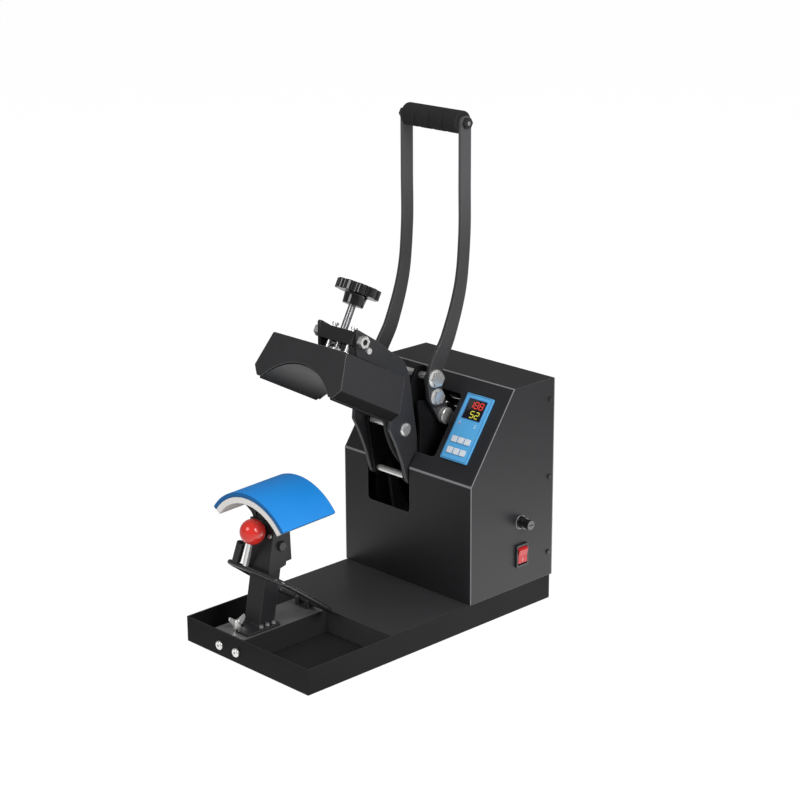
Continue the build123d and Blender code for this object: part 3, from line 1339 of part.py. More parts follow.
with BuildPart() as head_cover:
    with BuildSketch(head_section(0)) as shell:
        Polygon(*HEAD_PROFILE, align=None)
        fillet(shell.vertices(), HEAD_ROUND)
        with Locations((0, ARCH_CENTRE)):
            Circle(ARCH_R, mode=Mode.SUBTRACT)
    extrude(amount=-HEAD_DEPTH)
    with BuildSketch(head_section(HEAD_SHEET)) as hollow:
        Polygon(*HEAD_PROFILE, align=None)
        fillet(hollow.vertices(), HEAD_ROUND)
        offset(amount=-HEAD_SHEET, kind=Kind.INTERSECTION)
        with Locations((0, -HEAD_H)):
            Rectangle(2 * OPEN_HALF, 4 * HEAD_SHEET)
    extrude(amount=-(HEAD_DEPTH - 2 * HEAD_SHEET), mode=Mode.SUBTRACT)
    with BuildSketch(head_deck(SCREW_ALONG, 0)):
        Circle(COVER_HOLE_R)
        with GridLocations(GUIDE_PITCH, 1, 2, 1):
            Circle(GUIDE_R + CLEAR)
    extrude(amount=-2 * HEAD_SHEET, mode=Mode.SUBTRACT)
    with BuildSketch(head_deck(CABLE_ALONG, 0)):
        with Locations((CABLE_X, 0)):
            Circle(GLAND_HOLE_R)
    extrude(amount=-2 * HEAD_SHEET, mode=Mode.SUBTRACT)
save(head_cover, "head_cover")

PLATE_TOP = -HEAD_SHEET - CLEAR
PLATE_W = 110.0
PLATE_D = 76.0
JOURNAL_R = 3.5
JOURNAL_DEEP = 5.0

with BuildPart() as mounting_plate:
    with BuildSketch(head_deck(SCREW_ALONG, PLATE_TOP)):
        Rectangle(PLATE_W, PLATE_D)
        with GridLocations(GUIDE_PITCH, 1, 2, 1):
            Circle(GUIDE_R + RUNNING, mode=Mode.SUBTRACT)
    extrude(amount=-MOUNT_PLATE_T)
    with BuildSketch(head_deck(SCREW_ALONG, PLATE_TOP)):
        Circle(THRUST_R)
    extrude(amount=BOSS_TOP - PLATE_TOP)
    with BuildSketch(head_deck(SCREW_ALONG, BOSS_TOP)):
        Circle(JOURNAL_R + RUNNING)
    extrude(amount=-JOURNAL_DEEP - CLEAR, mode=Mode.SUBTRACT)
save(mounting_plate, "mounting_plate")

PLATEN_INSET = HEAD_SHEET + CLEAR + 1.0
PLATEN_SIDE = OPEN_HALF - 2 * CLEAR
PLATEN_LAND_W = 54.0
PLATEN_LAND_D = 84.0
LAND_TOP = -(PLATEN_CREST - PLATEN_T) + 2.5
PLATEN_DEPTH = HEAD_DEPTH - 2 * PLATEN_INSET

with BuildPart() as heater_platen:
    with BuildSketch(head_section(PLATEN_INSET)):
        add(arc_band(PLATEN_R + PLATEN_T, PLATEN_R, PLATEN_SPREAD, -PLATEN_CENTRE_DROP))
        Rectangle(2 * PLATEN_SIDE, 2 * PLATEN_CENTRE_DROP, mode=Mode.INTERSECT)
    extrude(amount=-PLATEN_DEPTH)
    with BuildSketch(head_deck(HEAD_DEPTH / 2, LAND_TOP)):
        Rectangle(PLATEN_LAND_W, PLATEN_LAND_D)
    extrude(amount=-PLATEN_T)
save(heater_platen, "heater_platen")

PLATE_BOTTOM = PLATE_TOP - MOUNT_PLATE_T
INSULATION_W = 50.0
INSULATION_D = 70.0

with BuildPart() as insulation_pad:
    with BuildSketch(head_deck(HEAD_DEPTH / 2, PLATE_BOTTOM)):
        Rectangle(INSULATION_W, INSULATION_D)
        with Locations((0, SCREW_ALONG - HEAD_DEPTH / 2)):
            with GridLocations(GUIDE_PITCH, 1, 2, 1):
                Circle(GUIDE_R + 2.5, mode=Mode.SUBTRACT)
    extrude(amount=LAND_TOP - PLATE_BOTTOM)
save(insulation_pad, "insulation_pad")

GUIDE_NUT_R = 5.2
GUIDE_NUT_H = 4.0
GUIDE_CAP_R = 4.6
GUIDE_CAP_H = 3.0
GUIDE_LOW = PLATE_BOTTOM - 1.0
GUIDE_TOP = BLOCK_H + BLOCK_TALL / 2 + SCREW_TRAVEL + 2 * CLEAR

with BuildPart() as guide_pins:
    with BuildSketch(head_deck(SCREW_ALONG, GUIDE_LOW)):
        with GridLocations(GUIDE_PITCH, 1, 2, 1):
            Circle(GUIDE_R)
    extrude(amount=GUIDE_TOP - GUIDE_LOW)
    with BuildSketch(head_deck(SCREW_ALONG, CLEAR)):
        with GridLocations(GUIDE_PITCH, 1, 2, 1):
            RegularPolygon(GUIDE_NUT_R, 6)
    extrude(amount=GUIDE_NUT_H)
    with BuildSketch(head_deck(SCREW_ALONG, GUIDE_TOP)):
        with GridLocations(GUIDE_PITCH, 1, 2, 1):
            Circle(GUIDE_CAP_R)
    extrude(amount=GUIDE_CAP_H)
save(guide_pins, "guide_pins")

KNOB_TOP_H = KNOB_BASE_H + KNOB_HUB_H
with BuildPart() as pressure_screw:
    with BuildSketch(head_deck(SCREW_ALONG, BOSS_TOP + CLEAR)):
        Circle(SCREW_R)
    extrude(amount=KNOB_TOP_H - BOSS_TOP - CLEAR)
    with BuildSketch(head_deck(SCREW_ALONG, BOSS_TOP - JOURNAL_DEEP)):
        Circle(JOURNAL_R)
    extrude(amount=JOURNAL_DEEP + CLEAR)
save(pressure_screw, "pressure_screw")

FLUTE_R = 7.0
FLUTE_OUT = KNOB_R + 4.2
KNOB_EDGE = 2.0
KNOB_BORE_END = KNOB_TOP_H + CLEAR
HEAD_OUT = Axis((0, 0, 0), (0, HEAD_UP[0], HEAD_UP[1]))

with BuildPart() as pressure_knob:
    with BuildSketch(head_deck(SCREW_ALONG, KNOB_TOP_H)) as rim:
        Circle(KNOB_R)
        with PolarLocations(FLUTE_OUT, KNOB_LOBES):
            Circle(FLUTE_R, mode=Mode.SUBTRACT)
        fillet(rim.vertices(), KNOB_EDGE)
    extrude(amount=KNOB_RIM_H)
    fillet(pressure_knob.faces().sort_by(HEAD_OUT)[-1].edges(), KNOB_EDGE * 0.75)
    with BuildSketch(head_deck(SCREW_ALONG, KNOB_BASE_H)):
        Circle(KNOB_HUB_R)
    extrude(amount=KNOB_HUB_H)
    with BuildSketch(head_deck(SCREW_ALONG, KNOB_BASE_H)):
        Circle(SCREW_R + RUNNING)
    extrude(amount=KNOB_BORE_END - KNOB_BASE_H, mode=Mode.SUBTRACT)
save(pressure_knob, "pressure_knob")

# ---------------------------------------------------------------- handle
BAR_PATH = [
    (GRIP_Y, GRIP_Z),
    (GRIP_Y, 500.0),
    (147.8, 438.0),
    (124.7, 374.0),
    TOGGLE,
    LOWER_BOLT,
]
BAR_BEND = 18.0

for side, label in ((-1, "handle_bar_left"), (1, "handle_bar_right")):
    with BuildPart() as handle_bar:
        with BuildSketch(side_plane(side * BAR_HALF - BAR_T / 2)):
            with BuildLine():
                bar_line = FilletPolyline(*BAR_PATH, radius=BAR_BEND)
            trace(lines=bar_line, line_width=BAR_W)
            with Locations(BAR_PATH[0], BAR_PATH[-1]):
                Circle(BAR_W / 2)
            with Locations(TOGGLE):
                Circle(TOGGLE_R + RUNNING, mode=Mode.SUBTRACT)
            with Locations(LOWER_BOLT):
                Circle(LEVER_BOLT_R + RUNNING, mode=Mode.SUBTRACT)
            with Locations(BAR_PATH[0]):
                Circle(GRIP_BOLT_R + RUNNING, mode=Mode.SUBTRACT)
        extrude(amount=BAR_T)
    save(handle_bar, label)

with BuildPart() as lever_plates:
    for side in (-1, 1):
        with BuildSketch(side_plane(side * LEVER_HALF - LEVER_T / 2)):
            with Locations(TOGGLE, LOWER_BOLT, LEVER_PIVOT):
                Circle(BAR_W / 2 - 1.0)
            make_hull()
            with Locations(TOGGLE):
                Circle(TOGGLE_R + RUNNING, mode=Mode.SUBTRACT)
            with Locations(LOWER_BOLT, LEVER_PIVOT):
                Circle(LEVER_BOLT_R + RUNNING, mode=Mode.SUBTRACT)
        extrude(amount=LEVER_T)
save(lever_plates, "lever_plates")

BAR_OUT = BAR_HALF + BAR_T / 2
BAR_IN = BAR_HALF - BAR_T / 2
TOGGLE_WASHER = (12.5, 1.8)
TOGGLE_HEAD_R = 11.0
TOGGLE_HEAD_H = 6.0

with BuildPart() as toggle_shaft:
    with BuildSketch(side_plane(-BAR_OUT - CLEAR)):
        with Locations(TOGGLE):
            Circle(TOGGLE_R)
    extrude(amount=2 * (BAR_OUT + CLEAR))
    for side in (-1, 1):
        seat = bolt_seat(side, BAR_OUT, TOGGLE)
        with BuildSketch(seat):
            Circle(TOGGLE_WASHER[0])
        extrude(amount=TOGGLE_WASHER[1])
        with BuildSketch(seat.offset(TOGGLE_WASHER[1])):
            RegularPolygon(TOGGLE_HEAD_R, 6)
        extrude(amount=TOGGLE_HEAD_H)
save(toggle_shaft, "toggle_shaft")

LEVER_WASHER = (11.5, 1.6)
LEVER_HEAD_R = 9.8
LEVER_HEAD_H = 5.0

with BuildPart() as lever_bolts:
    for side in (-1, 1):
        seat = bolt_seat(side, BAR_OUT, LOWER_BOLT)
        with BuildSketch(seat):
            Circle(LEVER_WASHER[0])
        extrude(amount=LEVER_WASHER[1])
        with BuildSketch(seat.offset(LEVER_WASHER[1])):
            RegularPolygon(LEVER_HEAD_R, 6)
        extrude(amount=LEVER_HEAD_H)
        with BuildSketch(seat):
            Circle(LEVER_BOLT_R)
        extrude(amount=-(BAR_T + LEVER_T + CLEAR))
save(lever_bolts, "lever_bolts")

GRIP_HALF = BAR_IN - CLEAR
GRIP_WAIST = 13.0
GRIP_GROOVES = 4
GRIP_PITCH = 2 * GRIP_HALF / GRIP_GROOVES
GRIP_PROFILE = [
    (x * GRIP_PITCH / 2 - GRIP_HALF, GRIP_WAIST if x % 2 else GRIP_R)
    for x in range(2 * GRIP_GROOVES + 1)
]

with BuildPart() as handle_grip:
    with BuildSketch(Plane(origin=(MECH_X, GRIP_Y, GRIP_Z), x_dir=(1, 0, 0), z_dir=(0, -1, 0))):
        with BuildLine():
            Spline(*GRIP_PROFILE)
            Line((GRIP_HALF, GRIP_R), (GRIP_HALF, GRIP_BOLT_R + RUNNING))
            Line((GRIP_HALF, GRIP_BOLT_R + RUNNING), (-GRIP_HALF, GRIP_BOLT_R + RUNNING))
            Line((-GRIP_HALF, GRIP_BOLT_R + RUNNING), (-GRIP_HALF, GRIP_R))
        make_face()
    revolve(axis=Axis((MECH_X, GRIP_Y, GRIP_Z), (1, 0, 0)))
save(handle_grip, "handle_grip")

GRIP_HEAD_R = 7.5
GRIP_HEAD_H = 5.0

with BuildPart() as grip_bolt:
    with BuildSketch(side_plane(-BAR_OUT - CLEAR)):
        with Locations((GRIP_Y, GRIP_Z)):
            Circle(GRIP_BOLT_R)
    extrude(amount=2 * (BAR_OUT + CLEAR))
    for side in (-1, 1):
        low = side * (BAR_OUT + CLEAR + GRIP_HEAD_H / 2) - GRIP_HEAD_H / 2
        with BuildSketch(side_plane(low)):
            with Locations((GRIP_Y, GRIP_Z)):
                RegularPolygon(GRIP_HEAD_R, 6)
        extrude(amount=GRIP_HEAD_H)
save(grip_bolt, "grip_bolt")
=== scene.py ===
"""Looks of a cap heat press: finishes for its solids, and the fine pieces that sit on them.

All lengths are in metres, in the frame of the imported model: +X to the operator's right,
+Y to the back and +Z up, with the origin at the centre of the base's underside.
"""

from __future__ import annotations

import logging
import math
from dataclasses import dataclass
from enum import Enum
from typing import Any, Callable, Optional, Sequence, Union

import bpy
import numpy as np
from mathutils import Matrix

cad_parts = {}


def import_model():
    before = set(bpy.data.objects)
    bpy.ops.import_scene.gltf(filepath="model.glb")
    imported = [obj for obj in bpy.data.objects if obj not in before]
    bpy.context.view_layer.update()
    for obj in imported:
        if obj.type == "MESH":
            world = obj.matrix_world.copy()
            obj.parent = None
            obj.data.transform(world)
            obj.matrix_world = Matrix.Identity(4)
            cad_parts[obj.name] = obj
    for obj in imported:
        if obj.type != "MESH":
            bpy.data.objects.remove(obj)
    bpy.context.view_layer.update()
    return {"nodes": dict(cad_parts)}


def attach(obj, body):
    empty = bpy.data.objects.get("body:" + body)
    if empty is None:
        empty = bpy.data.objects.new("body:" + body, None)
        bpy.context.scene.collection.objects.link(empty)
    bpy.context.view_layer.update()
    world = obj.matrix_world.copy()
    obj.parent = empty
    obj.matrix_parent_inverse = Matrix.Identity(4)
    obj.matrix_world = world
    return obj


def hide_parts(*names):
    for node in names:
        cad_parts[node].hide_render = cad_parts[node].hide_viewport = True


LOG = logging.getLogger("cap_press")
MM = 0.001
TIP = 0.01 * MM  # radius at which a turned shape is closed
Array = np.ndarray
Colour = tuple[float, float, float]
Point = tuple[float, float, float]

# ------------------------------------------------------------------ shared places

MECH_X = -35.0 * MM  # middle of the arm, the head and the post
HOUSE_HALF = 122.0 * MM
HOUSE_TOP = 320.0 * MM
HOUSE_BACK = 226.5 * MM
SLOPE_FOOT = (65.0 * MM, 202.0 * MM)  # y and z of the front fold, where the slope starts
SLOPE_UP = (0.0, 82.0 / 143.694, 118.0 / 143.694)  # the slope runs 82 mm back and 118 mm up
SLOPE_OUT = (0.0, -SLOPE_UP[2], SLOPE_UP[1])
TILT = math.radians(28.2)  # how far the open head tips down to the back
HEAD_BACK = (0.0, math.cos(TILT), -math.sin(TILT))
HEAD_UP = (0.0, math.sin(TILT), math.cos(TILT))
HEAD_CORNER = (-74.0 * MM, 398.7 * MM)  # y and z of the front edge of the head's top
PAD_CENTRE = (-138.6 * MM, 133.16 * MM)  # y and z of the middle of the pad's arc
PAD_TILT = math.radians(2.5)
ARCH_EDGE = (66.0 * MM, 66.4 * MM)  # radii between which the painted shade on the lower platen's foot ends
BOLT_PAINT = (23.8 * MM, 24.2 * MM)  # distances from the middle between which paint starts


class Body(str, Enum):
    """The bodies that the new pieces ride on."""

    BASE = "base"
    HANDLE = "handle"
    ARM = "arm"
    PRESSURE = "pressure"
    POWER = "power"


# ------------------------------------------------------------------ shader wiring


@dataclass
class Wire:
    """An output socket that can be used in plain arithmetic.

    Args:
        sheet: The node sheet that the socket belongs to.
        socket: The output socket.
    """

    sheet: "NodeSheet"
    socket: bpy.types.NodeSocket

    def _math(self, operation: str, first: Any, second: Any) -> "Wire":
        """Add a Math node for operation on first and second."""
        return self.sheet.add("ShaderNodeMath", {"operation": operation}, [first, second])

    def __add__(self, other: Union["Wire", float]) -> "Wire":
        """Sum of the two."""
        return self._math("ADD", self, other)

    __radd__ = __add__

    def __sub__(self, other: Union["Wire", float]) -> "Wire":
        """This less the other."""
        return self._math("SUBTRACT", self, other)

    def __rsub__(self, other: Union["Wire", float]) -> "Wire":
        """The other less this."""
        return self._math("SUBTRACT", other, self)

    def __mul__(self, other: Union["Wire", float]) -> "Wire":
        """Product of the two."""
        return self._math("MULTIPLY", self, other)

    __rmul__ = __mul__

    def __truediv__(self, other: Union["Wire", float]) -> "Wire":
        """This over the other."""
        return self._math("DIVIDE", self, other)

    def __pow__(self, other: float) -> "Wire":
        """This raised to a power."""
        return self._math("POWER", self, other)

    def absolute(self) -> "Wire":
        """This without its sign."""
        return (self * self) ** 0.5

    def sine(self) -> "Wire":
        """Sine of this, in radians."""
        return self.sheet.add("ShaderNodeMath", {"operation": "SINE"}, [self])

    def step(self, low: float, high: float) -> "Wire":
        """Smooth step: 0 below low and 1 above high.

        Args:
            low: Value where the step starts.
            high: Value where it ends.

        Returns:
            The step, 0 to 1.
        """
        settings = {"interpolation_type": "SMOOTHSTEP"}
        inputs = {"Value": self, "From Min": low, "From Max": high}
        return self.sheet.add("ShaderNodeMapRange", settings, inputs)


class NodeSheet:
    """The node tree of one material, filled through a single method.

    Args:
        name: Name of the material.
    """

    def __init__(self, name: str) -> None:
        """Start an empty tree."""
        self.material = bpy.data.materials.new(name)
        self.material.use_nodes = True
        self.tree = self.material.node_tree
        self.tree.nodes.clear()

    def add(
        self,
        kind: str,
        settings: Optional[dict[str, Any]] = None,
        inputs: Union[dict[str, Any], Sequence[Any], None] = None,
        output: Union[str, int] = 0,
    ) -> Optional[Wire]:
        """Add a node.

        Args:
            kind: Type name of the node.
            settings: Properties to set first; "stops" fills a colour ramp.
            inputs: Values or wires, by socket name or in order.
            output: The output socket to return.

        Returns:
            The chosen output as a wire, or nothing for a node with no output.
        """
        node = self.tree.nodes.new(kind)
        for key, value in (settings or {}).items():
            if key == "stops":
                ramp = node.color_ramp
                while len(ramp.elements) < len(value):
                    ramp.elements.new(0.5)
                for element, (place, colour) in zip(ramp.elements, value):
                    element.position = place
                    element.color = (*colour, 1.0)
            else:
                setattr(node, key, value)
        pairs = inputs.items() if isinstance(inputs, dict) else enumerate(inputs or [])
        for key, value in pairs:
            socket = node.inputs[key]
            if isinstance(value, Wire):
                self.tree.links.new(value.socket, socket)
            elif isinstance(value, tuple) and len(value) == 3 and socket.type == "RGBA":
                socket.default_value = (*value, 1.0)
            else:
                socket.default_value = value
        return Wire(self, node.outputs[output]) if len(node.outputs) else None

    def place(self) -> Wire:
        """Object coordinates, in metres."""
        return self.add("ShaderNodeTexCoord", output="Object")

    def axis(self, name: str) -> Wire:
        """One of the object coordinates, "X", "Y" or "Z"."""
        return self.add("ShaderNodeSeparateXYZ", None, [self.place()], output=name)

    def noise(self, scale: float, detail: float = 3.0, rough: float = 0.5, at: Optional[Wire] = None) -> Wire:
        """Noise of that many cells a metre, about 0 to 1.

        Args:
            scale: Cells a metre.
            detail: Number of finer layers.
            rough: Weight of the finer layers.
            at: Where it is read, or the object coordinates.

        Returns:
            The noise.
        """
        inputs = {
            "Vector": at or self.place(),
            "Scale": scale,
            "Detail": detail,
            "Roughness": rough,
        }
        return self.add("ShaderNodeTexNoise", None, inputs)

    def stretch(self, scale: tuple[float, float, float]) -> Wire:
        """Object coordinates scaled by axis."""
        inputs = {"Vector": self.place(), "Scale": scale}
        return self.add("ShaderNodeMapping", None, inputs)

    def blend(self, amount: Any, first: Any, second: Any) -> Wire:
        """Colour between first and second."""
        inputs = {"Factor": amount, 6: first, 7: second}
        return self.add("ShaderNodeMix", {"data_type": "RGBA"}, inputs, output=2)

    def soften(self, radius: float) -> Wire:
        """Normal rounded over edges to that radius."""
        return self.add("ShaderNodeBevel", {"samples": 4}, {"Radius": radius})

    def facing(self, name: str) -> Wire:
        """Part of the surface's direction along the axis X, Y or Z, in object coordinates."""
        way = self.add("ShaderNodeTexCoord", output="Normal")
        return self.add("ShaderNodeSeparateXYZ", None, [way], output=name)

    def fold(self, softened: Wire) -> Wire:
        """1 along an edge and 0 on the flat: how far the softened normal leans.

        Args:
            softened: Normal rounded over the edges.

        Returns:
            The mask, 0 to 1.
        """
        flat = self.add("ShaderNodeNewGeometry", output="Normal")
        settings = {"operation": "DOT_PRODUCT"}
        lean = self.add("ShaderNodeVectorMath", settings, [softened, flat], output="Value")
        return (1.0 - lean).step(0.005, 0.09)

    def bump(self, height: Wire, distance: float, strength: float = 1.0, over: Optional[Wire] = None) -> Wire:
        """Normal bent by height, starting from the normal over if there is one.

        Args:
            height: Height, 0 to 1.
            distance: Depth in metres of a height of 1.
            strength: Share of the bend that is used.
            over: Normal to start from.

        Returns:
            The bent normal.
        """
        inputs = {"Height": height, "Distance": distance, "Strength": strength}
        if over:
            inputs["Normal"] = over
        return self.add("ShaderNodeBump", None, inputs)

    def finish(self, **sockets: Any) -> bpy.types.Material:
        """Close the tree with a Principled shader.

        Args:
            **sockets: Values or wires by socket name, with _ for a space.

        Returns:
            The finished material.
        """
        inputs = {key.replace("_", " "): value for key, value in sockets.items()}
        shader = self.add("ShaderNodeBsdfPrincipled", None, inputs)
        self.add("ShaderNodeOutputMaterial", None, [shader])
        return self.material


# ------------------------------------------------------------------ finishes


@dataclass(frozen=True)
class Finish:
    """A surface finish.

    Args:
        name: Name of the material.
        slot: Material slot of the record that it belongs to; not used.
        colour: Main colour, linear.
        rough: Mean roughness.
    """

    name: str
    slot: str
    colour: Colour
    rough: float

    def tone(self, factor: float) -> Colour:
        """The main colour times factor."""
        return tuple(min(1.0, c * factor) for c in self.colour)

    def make(self) -> bpy.types.Material:
        """Build the material."""
        raise NotImplementedError


def housing_folds(sheet: NodeSheet) -> Wire:
    """1 along the folds of the housing, where two of its outer planes meet, and 0 elsewhere: where its
    painted highlight lines go.

    Args:
        sheet: Node sheet of the material.

    Returns:
        The mask, 0 to 1.
    """
    x, y, z = (sheet.axis(name) for name in "XYZ")
    depths = {
        "side": HOUSE_HALF - x.absolute(),
        "top": HOUSE_TOP - z,
        "front": y - SLOPE_FOOT[0],
        "slope": (y - SLOPE_FOOT[0]) * SLOPE_UP[2] - (z - SLOPE_FOOT[1]) * SLOPE_UP[1],
        "back": HOUSE_BACK - y,
    }
    near = {name: 1.0 - depth.step(0.0004, 0.0014) for name, depth in depths.items()}
    pairs = (("side", "slope"), ("side", "front"), ("top", "slope"), ("slope", "front"))
    total = near["side"] * near["back"]
    for first, second in pairs:
        total = total + near[first] * near[second]
    return total.step(0.0, 1.0)


@dataclass(frozen=True)
class PowderCoat(Finish):
    """Baked powder coat: a fine pebble, a painted highlight along folds and edges, and a little dust; sides,
    under and rise add painted light and shade.
    """

    pebble: float = 1500.0
    depth: float = 0.00005
    edge: float = 0.0013
    sheen: float = 0.3
    dust: float = 0.10
    # colour of the painted highlight along folds and edges
    line: float = 0.075
    # tone of faces that do not look up: painted light or painted shade
    sides: float = 1.0
    # tone of faces that look down: painted shade
    under: float = 1.0
    # heights between which the colour goes to another tone, and that tone: painted light
    rise: Optional[tuple[float, float, float]] = None
    # mask of further folds that get the painted highlight
    folds: Optional[Callable[[NodeSheet], Wire]] = None

    def make(self) -> bpy.types.Material:
        """Build the material.

        Returns:
            The finished material.
        """
        sheet = NodeSheet(self.name)
        pebble = sheet.noise(self.pebble, 2.0)
        cloud = sheet.noise(14.0, 3.0)
        rub = sheet.noise(160.0, 4.0, 0.6).step(0.62, 0.8)
        soft = sheet.soften(self.edge)
        fold = sheet.fold(soft)
        if self.folds:
            fold = (fold * 0.4 + self.folds(sheet)).step(0.0, 1.0)
        colour = sheet.blend(cloud, self.tone(0.85), self.tone(1.16))
        colour = sheet.blend(rub * self.dust, colour, self.tone(3.0))
        # painted light: the tone changes between two heights
        if self.rise:
            low, high, factor = self.rise
            colour = sheet.blend(sheet.axis("Z").step(low, high), colour, self.tone(factor))
        # painted light or shade on faces that do not look up
        if self.sides != 1.0:
            colour = sheet.blend(1.0 - sheet.facing("Z").step(0.3, 0.7), colour, self.tone(self.sides))
        # painted shade on faces that look down
        if self.under != 1.0:
            colour = sheet.blend((sheet.facing("Z") * -1.0).step(0.1, 0.35), colour, self.tone(self.under))
        # painted highlight along folds and edges, a little weaker where the coat is rubbed
        colour = sheet.blend(fold * (rub * -0.3 + 1.0), colour, (self.line, self.line, self.line * 1.03))
        return sheet.finish(
            Base_Color=colour,
            Roughness=(cloud - 0.5) * 0.12 + rub * 0.08 - fold * 0.08 + self.rough,
            Specular_IOR_Level=self.sheen,
            Normal=sheet.bump(pebble, self.depth, 0.5, soft),
        )


@dataclass(frozen=True)
class Plated(Finish):
    """Bright zinc or machined steel, with turning marks and handling stains."""

    edge: float = 0.0004
    metallic: float = 0.85
    marks: tuple[float, float, float] = (400.0, 400.0, 400.0)

    def make(self) -> bpy.types.Material:
        """Build the material.

        Returns:
            The finished material.
        """
        sheet = NodeSheet(self.name)
        stain = sheet.noise(120.0, 3.0)
        marks = sheet.noise(1.0, 3.0, 0.6, sheet.stretch(self.marks))
        return sheet.finish(
            Base_Color=sheet.blend(stain, self.tone(0.86), self.tone(1.06)),
            Metallic=self.metallic,
            Roughness=stain * 0.08 + marks * 0.08 + (self.rough - 0.08),
            Normal=sheet.bump(marks, 0.00003, 0.3, sheet.soften(self.edge)),
        )


def pad_place(sheet: NodeSheet) -> tuple[Wire, Wire]:
    """Distance along the pad from its middle, and height over the centre of its arc.

    Args:
        sheet: Node sheet of the material.

    Returns:
        The two distances, in metres.
    """
    back = sheet.axis("Y") - PAD_CENTRE[0]
    rise = sheet.axis("Z") - PAD_CENTRE[1]
    along = back * math.cos(PAD_TILT) + rise * math.sin(PAD_TILT)
    height = rise * math.cos(PAD_TILT) - back * math.sin(PAD_TILT)
    return along, height


def shade_below_arch(sheet: NodeSheet) -> Wire:
    """1 inside the lower platen's arch, on its foot, which is made black as painted shade, and 0 on the arch.

    Args:
        sheet: Node sheet of the material.

    Returns:
        The mask, 0 to 1.
    """
    across = sheet.axis("X") - MECH_X
    _, height = pad_place(sheet)
    return 1.0 - ((across * across + height * height) ** 0.5).step(*ARCH_EDGE)


def at_bolt_ends(sheet: NodeSheet) -> Wire:
    """1 on the painted heads at both ends of the cross bolt, and 0 between."""
    return (sheet.axis("X") - MECH_X).absolute().step(*BOLT_PAINT)


@dataclass(frozen=True)
class PartPainted(Finish):
    """Bare grained metal, made black over the part that a mask picks out: painted shade on the lower platen's
    foot, black paint on the cross bolt's heads.
    """

    mask: Callable[[NodeSheet], Wire] = shade_below_arch
    metallic: float = 0.12
    grain: float = 1100.0
    # black over the mask: painted shade on the lower platen's foot
    paint: Colour = (0.019, 0.019, 0.021)

    def make(self) -> bpy.types.Material:
        """Build the material.

        Returns:
            The finished material.
        """
        sheet = NodeSheet(self.name)
        painted = self.mask(sheet)
        grain = sheet.noise(self.grain, 3.0, 0.65)
        blotch = sheet.noise(60.0, 4.0)
        bare = sheet.blend(blotch, self.tone(0.9), self.tone(1.05))
        return sheet.finish(
            Base_Color=sheet.blend(painted, bare, self.paint),
            Metallic=(1.0 - painted) * self.metallic,
            Roughness=(grain - 0.5) * 0.18 - painted * 0.1 + self.rough,
            Specular_IOR_Level=0.35,
            Normal=sheet.bump(grain, 0.0001, 0.5, sheet.soften(0.0009)),
        )


@dataclass(frozen=True)
class Moulding(Finish):
    """Moulded plastic or rubber: a light spark texture, with an optional clear skin."""

    coat: float = 0.0
    grain: float = 2600.0
    depth: float = 0.00003
    edge: float = 0.0006
    glow: float = 0.0

    def make(self) -> bpy.types.Material:
        """Build the material.

        Returns:
            The finished material.
        """
        sheet = NodeSheet(self.name)
        grain = sheet.noise(self.grain, 2.0)
        cloud = sheet.noise(45.0, 3.0)
        return sheet.finish(
            Base_Color=sheet.blend(cloud, self.tone(0.92), self.tone(1.08)),
            Roughness=(cloud - 0.5) * 0.1 + self.rough,
            Coat_Weight=self.coat,
            Coat_Roughness=0.06,
            Emission_Color=(*self.colour, 1.0),
            Emission_Strength=self.glow,
            Normal=sheet.bump(grain, self.depth, 0.5, sheet.soften(self.edge)),
        )


@dataclass(frozen=True)
class Foam(Finish):
    """Closed-cell foam sleeve: open pores and a dull skin."""

    def make(self) -> bpy.types.Material:
        """Build the material.

        Returns:
            The finished material.
        """
        sheet = NodeSheet(self.name)
        inputs = {"Vector": sheet.place(), "Scale": 1500.0, "Randomness": 1.0}
        pores = sheet.add("ShaderNodeTexVoronoi", {"feature": "F1"}, inputs, output="Distance")
        pores = pores.step(0.1, 0.7)
        wear = sheet.noise(70.0, 4.0)
        return sheet.finish(
            Base_Color=sheet.blend(pores, self.tone(0.45), sheet.blend(wear, self.tone(0.9), self.tone(1.3))),
            Roughness=wear * 0.12 + self.rough,
            Specular_IOR_Level=0.25,
            Normal=sheet.bump(pores, 0.00025, 0.6),
        )


@dataclass(frozen=True)
class Silicone(Finish):
    """Pressed silicone sheet with a faint bloom, and painted shade on the faces round its edges."""

    def make(self) -> bpy.types.Material:
        """Build the material.

        Returns:
            The finished material.
        """
        sheet = NodeSheet(self.name)
        bloom = sheet.noise(35.0, 4.0, 0.6)
        skin = sheet.noise(420.0, 2.0)
        along, height = pad_place(sheet)
        # painted shade: the pad's end faces and long edge faces are darker
        ends = along.absolute().step(44.0 * MM, 45.0 * MM)
        edge_shade = ends + (1.0 - height.step(51.8 * MM, 53.2 * MM))
        face = sheet.blend(bloom, self.tone(0.95), self.tone(1.06))
        return sheet.finish(
            Base_Color=sheet.blend(edge_shade.step(0.0, 1.0), face, self.tone(0.55)),
            Roughness=(bloom - 0.5) * 0.16 + self.rough,
            Specular_IOR_Level=0.25,
            Normal=sheet.bump(skin, 0.00004, 0.5),
        )


